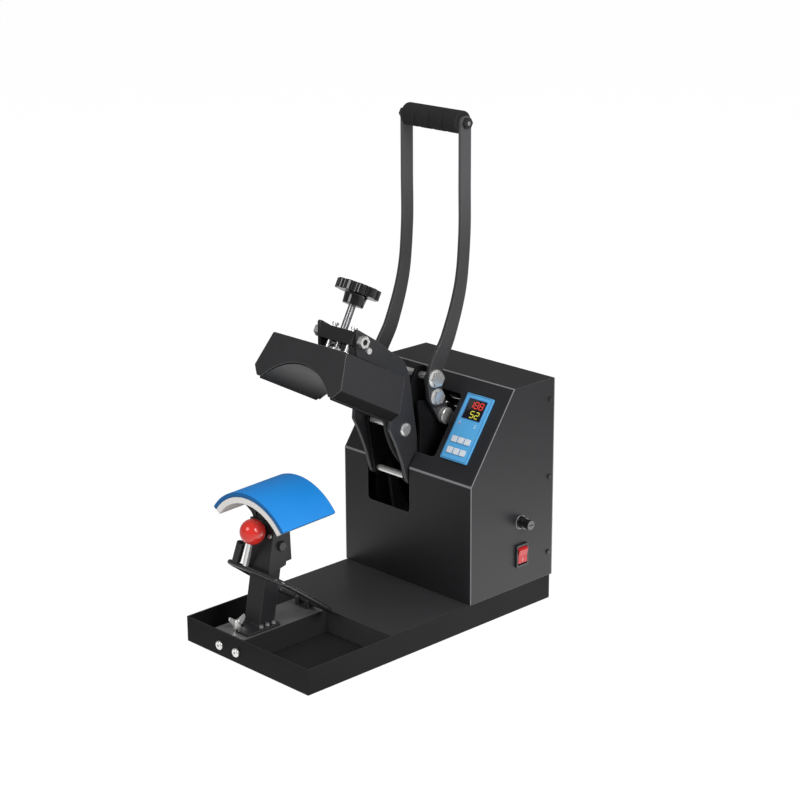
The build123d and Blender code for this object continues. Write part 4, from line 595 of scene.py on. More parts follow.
@dataclass(frozen=True)
class Braid(Finish):
    """Woven glass sleeve: crossed strands that follow the sleeve's own map."""

    strands: float = 26.0
    pitch: float = 46.0

    def make(self) -> bpy.types.Material:
        """Build the material.

        Returns:
            The finished material.
        """
        sheet = NodeSheet(self.name)
        uv = sheet.add("ShaderNodeUVMap", {"uv_map": "sleeve"})
        split = sheet.add("ShaderNodeSeparateXYZ", None, [uv], output="X")
        rise = sheet.add("ShaderNodeSeparateXYZ", None, [uv], output="Y")
        left = ((split * self.strands + rise * self.pitch) * math.tau).sine()
        right = ((split * self.strands - rise * self.pitch) * math.tau).sine()
        weave = (left * right) * 0.5 + 0.5
        return sheet.finish(
            Base_Color=sheet.blend(weave, self.tone(0.4), self.tone(1.5)),
            Roughness=weave * -0.1 + self.rough,
            Normal=sheet.bump(weave, 0.0003, 0.8),
        )


@dataclass(frozen=True)
class PressedFibre(Finish):
    """Pressed mineral fibre: loose strands in a pale board."""

    def make(self) -> bpy.types.Material:
        """Build the material.

        Returns:
            The finished material.
        """
        sheet = NodeSheet(self.name)
        strands = sheet.noise(1.0, 5.0, 0.7, sheet.stretch((900.0, 250.0, 900.0)))
        return sheet.finish(
            Base_Color=sheet.blend(strands, self.tone(0.75), self.tone(1.1)),
            Roughness=strands * 0.1 + self.rough,
            Normal=sheet.bump(strands, 0.0003, 0.7),
        )


class Palette:
    """All finishes, made once each."""

    COAT = PowderCoat("powder_coat", "black_coat", (0.020, 0.020, 0.022), 0.42)
    # painted shade: the tray's walls, and all faces that do not look up, at half the tone of its floor
    TRAY = PowderCoat(
        "tray_coat", "black_coat", (0.020, 0.020, 0.021), 0.48, sheen=0.08, line=0.05, sides=0.5
    )
    # painted highlight: bright lines along the housing's folds
    HOUSE = PowderCoat(
        "housing_coat", "black_coat", (0.019, 0.019, 0.021), 0.42, sheen=0.30, line=0.24, folds=housing_folds
    )
    # painted light and shade: a lighter copy of the plain coat, much darker on faces that look down
    HEAD = PowderCoat(
        "head_coat", "black_coat", (0.036, 0.036, 0.038), 0.46, sheen=0.10, line=0.20, under=0.22
    )
    # painted light: a lighter copy of the plain coat for the arm and lever plates
    ARM = PowderCoat("arm_coat", "black_coat", (0.030, 0.030, 0.033), 0.38, sheen=0.42, line=0.12)
    # painted light: a lighter copy of the plain coat, lighter still towards the top of the bars
    BARS = PowderCoat(
        "bar_coat", "black_coat", (0.038, 0.038, 0.040), 0.34, sheen=0.6, line=0.12, rise=(0.47, 0.60, 1.9)
    )
    # painted shade: a darker copy of the plain coat for the plates inside the housing
    INNER_SHADED = PowderCoat("inner_shaded_coat", "black_coat", (0.008, 0.008, 0.009), 0.5, sheen=0.12, line=0.02)
    # painted light: a lighter copy of the plain coat, lighter still on faces that do not look up
    DECK = PowderCoat("deck_coat", "deck_coat", (0.037, 0.037, 0.039), 0.42, sides=1.5)
    # painted sheen: a far lighter copy of the coat on the rail's top, darkened back on faces that do not look
    # up
    RAIL = PowderCoat("rail_coat", "deck_coat", (0.105, 0.105, 0.109), 0.30, sheen=0.5, sides=0.24)
    BAIL = PowderCoat("bail_coat", "black_coat", (0.024, 0.024, 0.026), 0.22, sheen=0.8)
    ZINC = Plated("bright_zinc", "zinc", (0.90, 0.90, 0.88), 0.24, metallic=0.75)
    DULL_ZINC = Plated("dull_zinc", "zinc", (0.34, 0.34, 0.34), 0.42, metallic=0.7)
    DARK_ZINC = Plated("dark_zinc", "zinc", (0.045, 0.045, 0.046), 0.38, metallic=0.6)
    STEEL = Plated("mill_steel", "grey_steel", (0.52, 0.52, 0.53), 0.36)
    THREAD = Plated("rolled_thread", "zinc", (0.30, 0.30, 0.31), 0.28, metallic=1.0, marks=(40.0, 40.0, 40.0))
    HOT = Plated(
        "hot_face", "hot_plate", (0.015, 0.015, 0.017), 0.42, metallic=0.4, marks=(60.0, 900.0, 900.0)
    )
    # painted shade: the lower platen's foot below the arch is made black
    CAST = PartPainted("cast_alloy", "cast_alloy", (0.93, 0.91, 0.88), 0.58)
    CROSS_BOLT = PartPainted("cross_bolt", "zinc", (0.55, 0.55, 0.54), 0.34, mask=at_bolt_ends, metallic=0.8)
    BLUE = Silicone("blue_silicone", "blue_silicone", (0.012, 0.240, 0.690), 0.56)
    RUBBER = Moulding("pad_rubber", "pad_rubber", (0.022, 0.022, 0.022), 0.75, grain=900.0, depth=0.0001)
    RED = Moulding("red_ball", "red_gloss", (0.74, 0.030, 0.022), 0.16, coat=0.5, depth=0.0)
    BLACK = Moulding("black_moulding", "black_plastic", (0.018, 0.018, 0.019), 0.38)
    SATIN = Moulding("glossy_knob", "black_plastic", (0.006, 0.006, 0.007), 0.13, coat=0.6, depth=0.0)
    GLOSS = Moulding("gloss_cap", "black_plastic", (0.008, 0.008, 0.008), 0.10, coat=0.8, depth=0.0)
    FOAM = Foam("grip_foam", "grip_foam", (0.022, 0.022, 0.023), 0.82)
    PANEL = Moulding("panel_film", "panel_blue", (0.104, 0.440, 0.820), 0.36, grain=3500.0)
    FRAME = Moulding("panel_outline", "black_plastic", (0.030, 0.130, 0.360), 0.4)
    WINDOW = Moulding("tinted_window", "window", (0.010, 0.008, 0.010), 0.12, coat=0.5, depth=0.0)
    KEYS = Moulding("key_white", "key_white", (0.74, 0.79, 0.85), 0.40)
    ROCKER = Moulding("red_rocker", "red_clear", (0.50, 0.010, 0.014), 0.36, coat=0.1, depth=0.0, glow=0.05)
    MARK = Moulding("white_mark", "key_white", (0.80, 0.80, 0.80), 0.5)
    RED_DIGIT = Moulding("red_digit", "red_clear", (0.80, 0.04, 0.03), 0.4, glow=0.4)
    LIME_DIGIT = Moulding("lime_digit", "key_white", (0.66, 0.62, 0.06), 0.4, glow=0.35)
    BRAID = Braid("heater_sleeve", "conduit", (0.030, 0.030, 0.032), 0.6)
    FIBRE = PressedFibre("fibre_board", "mineral_wool", (0.72, 0.69, 0.60), 0.9)

    def __init__(self) -> None:
        """Start with nothing made."""
        self._made: dict[str, bpy.types.Material] = {}

    def get(self, finish: Finish) -> bpy.types.Material:
        """The finish's material, built on first use.

        Args:
            finish: The finish.

        Returns:
            Its material.
        """
        if finish.name not in self._made:
            self._made[finish.name] = finish.make()
        return self._made[finish.name]


# ------------------------------------------------------------------ surfaces


@dataclass(frozen=True)
class Axes:
    """A local frame: an origin and three unit directions.

    Args:
        origin: Where the frame stands.
        x: Direction of local x.
        y: Direction of local y.
        z: Direction of local z.
    """

    origin: Point
    x: Point
    y: Point
    z: Point

    def place(self, points: Array) -> Array:
        """Points of any grid shape, carried from this frame to the part's."""
        turn = np.array([self.x, self.y, self.z], dtype=float)
        return np.asarray(points, dtype=float) @ turn + np.array(self.origin, dtype=float)

    def moved(self, x: float, y: float, z: float) -> "Axes":
        """The same directions about a local point."""
        return Axes(tuple(self.place([x, y, z])), self.x, self.y, self.z)

    def matrix(self) -> list[list[float]]:
        """The frame as an object's world matrix, listed by column.

        Returns:
            Four columns of four numbers.
        """
        matrix = np.eye(4)
        matrix[:3] = np.column_stack([self.x, self.y, self.z, self.origin])
        return matrix.T.tolist()

    @staticmethod
    def along(origin: Sequence[float], direction: Sequence[float]) -> "Axes":
        """A frame with z along direction and x as level as it can be.

        Args:
            origin: Where the frame stands.
            direction: Direction of its z, of any length.

        Returns:
            The frame.
        """
        z = np.asarray(direction, dtype=float)
        z = z / np.linalg.norm(z)
        side = np.array([1.0, 0.0, 0.0]) if abs(z[0]) < 0.9 else np.array([0.0, 1.0, 0.0])
        y = np.cross(z, side)
        y = y / np.linalg.norm(y)
        x = np.cross(y, z)
        return Axes(tuple(origin), tuple(x), tuple(y), tuple(z))


def link(name: str, data: bpy.types.ID) -> bpy.types.Object:
    """Put a new object with that data in the scene.

    Args:
        name: Name of the object.
        data: Its mesh, lamp or camera data.

    Returns:
        The object.
    """
    item = bpy.data.objects.new(name, data)
    bpy.context.scene.collection.objects.link(item)
    return item


def sheet_faces(rows: int, columns: int, wrap_rows: bool, wrap_columns: bool) -> Array:
    """Quads of a grid: corner (i, j) joins (i + 1, j), (i + 1, j + 1) and (i, j + 1).

    Args:
        rows: Number of rows of points.
        columns: Number of points in a row.
        wrap_rows: Whether the last row joins the first.
        wrap_columns: Whether each row closes on itself.

    Returns:
        An array of four point numbers a face.
    """
    i = np.arange(rows if wrap_rows else rows - 1)
    j = np.arange(columns if wrap_columns else columns - 1)
    i, j = np.meshgrid(i, j, indexing="ij")
    down, right = (i + 1) % rows, (j + 1) % columns
    corners = [i * columns + j, down * columns + j, down * columns + right, i * columns + right]
    return np.stack(corners, axis=-1).reshape(-1, 4)


@dataclass
class Piece:
    """One new mesh object and how it goes into the scene.

    Args:
        name: Name of the object.
        finish: Its finish.
        body: The body that it rides on.
        palette: Where the material comes from.
        replaces: Solids that it stands for.
    """

    name: str
    finish: Finish
    body: Body
    palette: Palette
    replaces: tuple[str, ...] = ()

    def from_faces(
        self, points: Array, faces: Sequence[Sequence[int]], smooth: bool = True
    ) -> bpy.types.Object:
        """Make the object from points and faces.

        Args:
            points: Places, in metres, in the part's frame.
            faces: Point numbers of each face.
            smooth: Whether faces are shaded smooth.

        Returns:
            The object, riding on its body.
        """
        mesh = bpy.data.meshes.new(self.name)
        mesh.from_pydata(np.asarray(points).reshape(-1, 3).tolist(), [], [list(f) for f in faces])
        mesh.validate()
        mesh.polygons.foreach_set("use_smooth", np.full(len(mesh.polygons), smooth))
        mesh.materials.append(self.palette.get(self.finish))
        piece = link(self.name, mesh)
        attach(piece, self.body.value)
        if self.replaces:
            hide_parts(*self.replaces)
        LOG.info("%s: %d points on %s", self.name, len(mesh.vertices), self.body.value)
        return piece

    def from_grid(
        self,
        grid: Array,
        wrap_rows: bool = False,
        wrap_columns: bool = False,
        close_ends: bool = False,
        smooth: bool = True,
        flip: bool = False,
    ) -> bpy.types.Object:
        """Make the object from a grid of points.

        Args:
            grid: Points by row and column.
            wrap_rows: Whether the last row joins the first.
            wrap_columns: Whether each row closes on itself.
            close_ends: Whether the first and last rows are filled.
            smooth: Whether faces are shaded smooth.
            flip: Whether the faces are turned over.

        Returns:
            The object, riding on its body.
        """
        rows, columns = grid.shape[:2]
        quads = sheet_faces(rows, columns, wrap_rows, wrap_columns)
        faces = (quads[:, ::-1] if flip else quads).tolist()
        if close_ends:
            first = list(range(columns))
            last = list(range((rows - 1) * columns, rows * columns))
            faces.append(first if not flip else first[::-1])
            faces.append(last[::-1] if not flip else last)
        return self.from_faces(grid, faces, smooth)

    def closed(self, grid: Array) -> bpy.types.Object:
        """Make the object from a turned or swept grid, filled at both ends."""
        return self.from_grid(grid, wrap_columns=True, close_ends=True, flip=True)


def around(radius: Array, height: Array, sides: int) -> Array:
    """Local grid round z: point (k, a) is at radius_ka and height_k, at angle a.

    Args:
        radius: Radius by row, or by row and side.
        height: Height by row.
        sides: Points round.

    Returns:
        The grid.
    """
    angle = np.linspace(0.0, math.tau, sides, endpoint=False)
    radius, height, angle = np.broadcast_arrays(radius, height, angle)
    return np.stack([radius * np.cos(angle), radius * np.sin(angle), height], axis=-1)


def lathe(axes: Axes, profile: Sequence[tuple[float, float]], sides: int = 48) -> Array:
    """Grid of a turned shape: point (k, a) is radius_k at angle a round z, at height_k.

    Args:
        axes: Frame whose z is the turning axis.
        profile: (radius, height) pairs from the foot up.
        sides: Points round.

    Returns:
        The grid, one row for each profile point.
    """
    rings = np.asarray(profile, dtype=float)
    return axes.place(around(rings[:, :1], rings[:, 1:], sides))


def carried_ring(path: Array, normal: Sequence[float], radius: Array, sides: int = 20) -> Array:
    """Grid of a round bar: a circle carried along a flat path.

    Each circle lies across the path's direction, which is the slope of the path by
    central differences, and is measured from the normal of the path's plane.

    Args:
        path: Points of the path.
        normal: Direction at right angles to its plane.
        radius: Radius at each point.
        sides: Points round.

    Returns:
        The grid, one row for each point of the path.
    """
    run = np.gradient(path, axis=0)
    run = run / np.linalg.norm(run, axis=1, keepdims=True)
    up = np.broadcast_to(np.asarray(normal, dtype=float), path.shape)
    side = np.cross(run, up)
    angle = np.linspace(0.0, math.tau, sides, endpoint=False)
    angle = angle[None, :, None]
    ring = up[:, None, :] * np.cos(angle) + side[:, None, :] * np.sin(angle)
    return path[:, None, :] + ring * np.asarray(radius).reshape(-1, 1, 1)


def soft_route(corners: Array, steps: int) -> Array:
    """Quadratic B-spline of the corners: each span is the parabola that touches the
    control polygon at the middles of its two sides, and the ends reach the end corners.

    Args:
        corners: Control points.
        steps: Points in each span.

    Returns:
        The points of the curve.
    """
    middles = (corners[:-1] + corners[1:]) / 2
    start = np.vstack([corners[:1], middles[1:-1]])
    end = np.vstack([middles[1:-1], corners[-1:]])
    bend = corners[1:-1]
    t = np.linspace(0.0, 1.0, steps)[None, :, None]
    spans = (1 - t) ** 2 * start[:, None] + 2 * t * (1 - t) * bend[:, None] + t**2 * end[:, None]
    joined = spans.reshape(-1, 3)
    keep = np.ones(len(joined), dtype=bool)
    keep[steps::steps] = False
    return joined[keep]


def prisms(outlines: Sequence[Array], low: float, high: float, axes: Axes) -> tuple[Array, list[list[int]]]:
    """Flat shapes given a thickness along z.

    Args:
        outlines: Corner loops, anticlockwise, in local x and y.
        low: Local height of the underside.
        high: Local height of the top.
        axes: Where they stand.

    Returns:
        Points and faces of all the shapes together.
    """
    points: list[Array] = []
    faces: list[list[int]] = []
    start = 0
    for outline in outlines:
        count = len(outline)
        loop = np.asarray(outline, dtype=float)
        for height in (low, high):
            points.append(np.column_stack([loop, np.full(count, height)]))
        first = np.arange(count) + start
        following = np.roll(first, -1)
        walls = np.stack([first, following, following + count, first + count], axis=1)
        faces += walls.tolist() + [first[::-1].tolist(), (first + count).tolist()]
        start += 2 * count
    return axes.place(np.vstack(points)), faces


def frame_loop(width: float, height: float, corner: float, steps: int = 6) -> Array:
    """Corner points of a rounded rectangle about the origin, anticlockwise.

    Args:
        width: Size in x.
        height: Size in y.
        corner: Radius of each corner.
        steps: Points in each corner.

    Returns:
        The loop of points.
    """
    turn = np.linspace(0.0, math.pi / 2, steps)
    quarter = np.stack([np.cos(turn), np.sin(turn)], axis=1) * corner
    middle = np.array([width / 2 - corner, height / 2 - corner])
    parts = []
    for count in range(4):
        spin = np.linalg.matrix_power(np.array([[0, 1], [-1, 0]]), count)
        parts.append(quarter @ spin + (np.array([1, 1]) @ spin) * middle)
    return np.vstack(parts)


PANEL_AXES = Axes(
    (75.0 * MM, (65.0 + 74.5 * SLOPE_UP[1]) * MM, (202.0 + 74.5 * SLOPE_UP[2]) * MM),
    (1.0, 0.0, 0.0),
    SLOPE_UP,
    SLOPE_OUT,
)


def head_axes(along: float, height: float, across: float = 0.0) -> Axes:
    """Frame on the head: z at right angles to its top.

    Args:
        along: Distance back from the front edge of the top.
        height: Distance above the top.
        across: Distance to the right of the centre.

    Returns:
        The frame.
    """
    origin = (
        MECH_X + across,
        HEAD_CORNER[0] + along * HEAD_BACK[1] + height * HEAD_UP[1],
        HEAD_CORNER[1] + along * HEAD_BACK[2] + height * HEAD_UP[2],
    )
    return Axes(origin, (1.0, 0.0, 0.0), HEAD_BACK, HEAD_UP)


# ------------------------------------------------------------------ sub-assemblies


@dataclass
class Solids:
    """The solids that stay in view, each with its finish."""

    palette: Palette
    dress: tuple[tuple[Finish, str], ...] = (
        (Palette.TRAY, "base_tray"),
        (Palette.DECK, "deck_plate"),
        (Palette.RAIL, "centre_rail"),
        (Palette.HOUSE, "housing_cover back_panel"),
        (Palette.INNER_SHADED, "frame_plates drive_plates"),
        (Palette.COAT, "post post_foot post_bracket cross_block"),
        (Palette.ARM, "arm_plate_left arm_plate_right lever_plates"),
        (Palette.HEAD, "head_cover"),
        (Palette.BARS, "handle_bar_left handle_bar_right"),
        (Palette.BAIL, "bail_loop"),
        (Palette.ZINC, "rail_bolts arm_pivot_shaft lever_pivot_bolts ball_stem arm_tie_rod block_bolts"),
        (Palette.ZINC, "link_pin guide_pins pressure_screw lever_bolts toggle_shaft wing_screw"),
        (Palette.DARK_ZINC, "cover_screws grip_bolt"),
        (Palette.DULL_ZINC, "foot_bolts"),
        (Palette.CROSS_BOLT, "platen_bolts"),
        (Palette.CAST, "lower_platen"),
        (Palette.HOT, "heater_platen"),
        (Palette.STEEL, "mounting_plate"),
        (Palette.BLUE, "silicone_pad"),
        (Palette.RUBBER, "rubber_pads"),
        (Palette.RED, "ball_knob"),
        (Palette.BLACK, "controller_case rocker_bezel mains_gland terminal_block clamp_sleeve"),
        (Palette.GLOSS, "fuse_holder fuse_cap"),
        (Palette.SATIN, "pressure_knob"),
        (Palette.FOAM, "handle_grip"),
        (Palette.PANEL, "controller_panel"),
        (Palette.WINDOW, "display_window"),
        (Palette.ROCKER, "rocker"),
        (Palette.BRAID, "heater_cable"),
        (Palette.FIBRE, "insulation_pad"),
        (Palette.KEYS, "key_1 key_2 key_3 key_4 key_5 key_6"),
    )

    def build(self, nodes: dict[str, bpy.types.Object]) -> None:
        """Give every solid its finish.

        Args:
            nodes: The solids by name.
        """
        finishes = {name: finish for finish, names in self.dress for name in names.split()}
        for name, node in nodes.items():
            node.data.materials.clear()
            node.data.materials.append(self.palette.get(finishes[name]))
        LOG.info("solids dressed: %d", len(nodes))


@dataclass
class Assembly:
    """Pieces that are built together.

    Args:
        palette: Where their materials come from.
    """

    palette: Palette

    def piece(self, name: str, finish: Finish, body: Body, *replaces: str) -> Piece:
        """A piece of this assembly, still without its mesh."""
        return Piece(name, finish, body, self.palette, replaces)

    def build(self) -> None:
        """Make the pieces."""
        raise NotImplementedError


@dataclass
class Fascia(Assembly):
    """Marks on the controller: outline, window rim, digits and lamps."""

    SEGMENTS = {"1": "bc", "2": "abged", "5": "afgcd", "8": "abcdefg"}
    PLACES = {
        "a": (0, 2), "b": (1, 1), "c": (1, -1), "d": (0, -2),
        "e": (-1, -1), "f": (-1, 1), "g": (0, 0),
    }

    top: float = 3.3 * MM
    width: float = 48.0 * MM
    length: float = 95.0 * MM
    margin: float = 2.4 * MM
    window: tuple[float, float] = (32.0 * MM, 28.0 * MM)
    window_y: float = 26.5 * MM
    digit: tuple[float, float] = (6.4 * MM, 9.4 * MM)
    digit_scale: float = 0.95
    digit_pitch: float = 8.8 * MM
    stroke: float = 1.3 * MM
    gap: float = 0.18 * MM
    slant: float = 0.08
    lamp_radius: float = 1.0 * MM
    lamp_rise: float = 0.5 * MM
    lamps: tuple[tuple[str, Finish, float, float], ...] = (
        ("lamp_left_high", Palette.MARK, -15.6 * MM, 6.4 * MM),
        ("lamp_left_low", Palette.RED_DIGIT, -15.6 * MM, 3.2 * MM),
        ("lamp_right_high", Palette.MARK, 12.4 * MM, 6.4 * MM),
        ("lamp_right_low", Palette.MARK, 12.4 * MM, 3.2 * MM),
    )

    def _segment(self, letter: str) -> Array:
        """Outline of one bar of a digit, pointed at both ends, about the digit's middle.

        Args:
            letter: The bar, a to g, clockwise from the top with g in the middle.

        Returns:
            The corners, anticlockwise.
        """
        width, height = self.digit
        level = letter in "adg"
        half = (width if level else height / 2) / 2 - self.gap
        thick = self.stroke / 2
        upper = [(half, 0), (half - thick, thick), (-half + thick, thick)]
        lower = [(-half, 0), (-half + thick, -thick), (half - thick, -thick)]
        bar = np.array(lower + upper)
        if not level:
            bar = bar[:, ::-1] * np.array([-1, 1])
        slanted = bar + np.array(self.PLACES[letter]) * np.array([width / 2, height / 4])
        slanted[:, 0] += slanted[:, 1] * self.slant
        return slanted

    def _number(self, name: str, text: str, finish: Finish, middle: float, shift: float) -> None:
        """Make one row of digits.

        Args:
            name: Name of the piece.
            text: The digits.
            finish: Their finish.
            middle: Height of the row on the panel.
            shift: Distance of the row to the right of the middle.
        """
        outlines = []
        for place, character in enumerate(text):
            spot = np.array([shift + (place - (len(text) - 1) / 2) * self.digit_pitch, middle])
            for letter in self.SEGMENTS[character]:
                outlines.append(self._segment(letter) * self.digit_scale + spot)
        points, faces = prisms(outlines, self.top - 0.16 * MM, self.top - 0.04 * MM, PANEL_AXES)
        self.piece(name, finish, Body.BASE).from_faces(points, faces, smooth=False)

    def _band(self, name: str, size: tuple[float, float], middle: float, wide: float, corner: float) -> None:
        """Make a raised rounded frame: four loops, closed on themselves, sunk a little in the panel.

        Args:
            name: Name of the piece.
            size: Outer width and height.
            middle: Height of its middle on the panel.
            wide: Width of the band.
            corner: Outer radius of its corners.
        """
        outer = frame_loop(size[0], size[1], corner)
        inner = frame_loop(size[0] - 2 * wide, size[1] - 2 * wide, max(corner - wide, 0.2 * MM))
        low, high = self.top - 0.2 * MM, self.top + 0.15 * MM
        rows = [
            np.column_stack([loop + np.array([0.0, middle]), np.full(len(loop), level)])
            for loop, level in ((outer, low), (outer, high), (inner, high), (inner, low))
        ]
        band = self.piece(name, Palette.FRAME, Body.BASE)
        grid = PANEL_AXES.place(np.stack(rows))
        band.from_grid(grid, wrap_rows=True, wrap_columns=True, smooth=False, flip=True)

    def build(self) -> None:
        """Make the marks; each lamp is a low dome."""
        outline = (self.width - self.margin, self.length - self.margin)
        self._band("panel_outline", outline, 0.0, 0.7 * MM, 2.0 * MM)
        rim = (self.window[0] + 2.0 * MM, self.window[1] + 2.0 * MM)
        self._band("window_rim", rim, self.window_y, 1.0 * MM, 1.2 * MM)
        self._number("upper_digits", "188", Palette.RED_DIGIT, self.window_y + 6.6 * MM, 0.0)
        self._number("lower_digits", "52", Palette.LIME_DIGIT, self.window_y - 6.8 * MM, 3.0 * MM)
        turn = np.linspace(0.0, math.pi / 2, 7)[:-1]
        dome = [(self.lamp_radius * math.cos(a), self.lamp_rise * math.sin(a)) for a in turn]
        dome.append((TIP, self.lamp_rise))
        for name, finish, x, y in self.lamps:
            seat = PANEL_AXES.moved(x, y, self.top - 0.02 * MM)
            self.piece(name, finish, Body.BASE).closed(lathe(seat, dome, 20))


@dataclass
class PressureDrive(Assembly):
    """Thread of the pressure screw, and its knob with an insert."""

    along: float = 51.0 * MM
    radius: float = 5.0 * MM
    pitch: float = 1.5 * MM
    depth: float = 0.06 * MM
    low: float = 6.4 * MM
    high: float = 84.4 * MM
    plain: float = 16.0 * MM
    thread_sides: int = 40
    turn_steps: int = 8
    knob_sides: int = 240
    insert: tuple[tuple[float, float], ...] = ((7.0, 94.8), (7.0, 95.6), (6.2, 96.0), (0.01, 96.0))
    journal: float = 3.5 * MM
    journal_low: float = 1.1 * MM
    lobes: int = 10
    profile: tuple[tuple[float, float, float], ...] = (
        (0.02, 66.2, 0.0),
        (13.4, 66.2, 0.0),
        (14.2, 66.4, 0.0),
        (14.4, 67.4, 0.0),
        (15.0, 75.0, 0.0),
        (15.6, 80.0, 0.0),
        (16.4, 81.4, 0.0),
        (19.0, 81.9, 0.0),
        (26.0, 81.8, 1.2),
        (29.8, 81.8, 3.0),
        (30.5, 82.0, 3.8),
        (30.5, 83.4, 3.8),
        (30.5, 93.4, 3.8),
        (30.5, 94.8, 3.8),
        (29.8, 95.0, 3.0),
        (25.0, 95.0, 0.8),
        (15.0, 94.4, 0.0),
        (0.02, 94.2, 0.0),
    )

    def build(self) -> None:
        """Make the thread: radius falls by depth x (1 + cos(turns along - angle)) / 2."""
        rows = int((self.high - self.low) / self.pitch * self.turn_steps)
        height = np.linspace(self.low, self.high, rows)[:, None]
        angle = np.linspace(0.0, math.tau, self.thread_sides, endpoint=False)[None, :]
        wave = 0.5 + 0.5 * np.cos(math.tau * height / self.pitch - angle)
        begin = np.clip((height - self.low) / (2 * MM), 0.0, 1.0)
        end = np.clip((self.high - self.plain - height) / MM, 0.0, 1.0)
        radius = self.radius - self.depth * wave * begin * end
        radius = np.vstack([np.full((2, self.thread_sides), self.journal), radius])
        height = np.vstack([[[self.journal_low], [self.low - 0.05 * MM]], height])
        axes = head_axes(self.along, 0.0)
        thread = self.piece("pressure_thread", Palette.THREAD, Body.PRESSURE, "pressure_screw")
        thread.closed(axes.place(around(radius, height, self.thread_sides)))
        self._knob(axes)

    def _knob(self, axes: Axes) -> None:
        """Make the knob: a smoothed profile whose radius dips between its lobes.

        Each corner of the profile is (radius, height, dip in mm), and the dip at angle a
        is the dip times ((1 - cos(lobes x a)) / 2) squared.
        """
        profile = soft_route(np.array(self.profile), 6) * MM
        angle = np.linspace(0.0, math.tau, self.knob_sides, endpoint=False)[None, :]
        radius = profile[:, :1] - profile[:, 2:] * (0.5 - 0.5 * np.cos(self.lobes * angle)) ** 2
        knob = self.piece("knob_body", Palette.SATIN, Body.PRESSURE, "pressure_knob")
        knob.closed(axes.place(around(radius, profile[:, 1:2], self.knob_sides)))
        cap = self.piece("knob_insert", Palette.BLACK, Body.PRESSURE)
        cap.closed(lathe(axes, np.array(self.insert) * MM, 32))


@dataclass
class HeaterSleeve(Assembly):
    """The braided sleeve that brings power to the head."""

    across: float = 12.0 * MM
    radius: float = 4.0 * MM
    sides: int = 24
    entry: tuple[float, float, float] = (99.0 * MM, -12.0 * MM, 17.0 * MM)  # place along, two heights
    route: tuple[tuple[float, float], ...] = (
        (56.0, 335.0),
        (46.0, 268.0),
        (62.0, 222.0),
        (84.5, 195.0),
        (94.0, 176.0),
    )

    def build(self) -> None:
        """Make the sleeve along the route, with a map of turn and length for its weave."""
        along, *heights = self.entry
        head = [head_axes(along, height, self.across).origin for height in heights]
        rest = [(MECH_X + self.across, y * MM, z * MM) for y, z in self.route]
        path = soft_route(np.array(head + rest), 24)
        grid = carried_ring(path, (1.0, 0.0, 0.0), np.full(len(path), self.radius), self.sides)
        sleeve = self.piece("heater_sleeve", Palette.BRAID, Body.ARM, "heater_cable").closed(grid)
        self._map(sleeve, path)

    def _map(self, sleeve: bpy.types.Object, path: Array) -> None:
        """Write the map: x is the turn from 0 to 1 and y the length in tenths of a metre.

        Args:
            sleeve: The sleeve, made as one ring for each point of the path.
            path: Points of its middle line.
        """
        mesh = sleeve.data
        steps = np.linalg.norm(np.diff(path, axis=0), axis=1)
        run = np.concatenate([[0.0], np.cumsum(steps)]) * 10.0
        point = np.zeros(len(mesh.loops), dtype=int)
        mesh.loops.foreach_get("vertex_index", point)
        turn = (point % self.sides) / self.sides
        starts = np.array([polygon.loop_start for polygon in mesh.polygons])
        first = np.repeat(starts, [polygon.loop_total for polygon in mesh.polygons])
        beside = (turn[first] > 0.5) | (np.roll(turn, 1) > 0.5) | (np.roll(turn, -1) > 0.5)
        turn = np.where((turn == 0.0) & beside, 1.0, turn)
        layer = mesh.uv_layers.new(name="sleeve")
        layer.data.foreach_set("uv", np.column_stack([turn, run[point // self.sides]]).ravel())


def route_through(corners: Array, steps: int) -> Array:
    """Cubic Hermite curve through every corner.

    The slope at a corner is the mean of the slopes on its two sides, each weighted by
    the length of the other side.

    Args:
        corners: Points the curve passes through.
        steps: Points in each span.

    Returns:
        The points of the curve.
    """
    chord = np.linalg.norm(np.diff(corners, axis=0), axis=1, keepdims=True)
    slope = np.diff(corners, axis=0) / chord
    inner = (slope[:-1] * chord[1:] + slope[1:] * chord[:-1]) / (chord[:-1] + chord[1:])
    slopes = np.vstack([slope[:1], inner, slope[-1:]])
    t = np.linspace(0.0, 1.0, steps, endpoint=False)[None, :, None]
    spans = (
        (2 * t**3 - 3 * t**2 + 1) * corners[:-1, None]
        + (t**3 - 2 * t**2 + t) * (slopes[:-1] * chord)[:, None]
        + (3 * t**2 - 2 * t**3) * corners[1:, None]
        + (t**3 - t**2) * (slopes[1:] * chord)[:, None]
    )
    return np.vstack([spans.reshape(-1, corners.shape[1]), corners[-1:]])


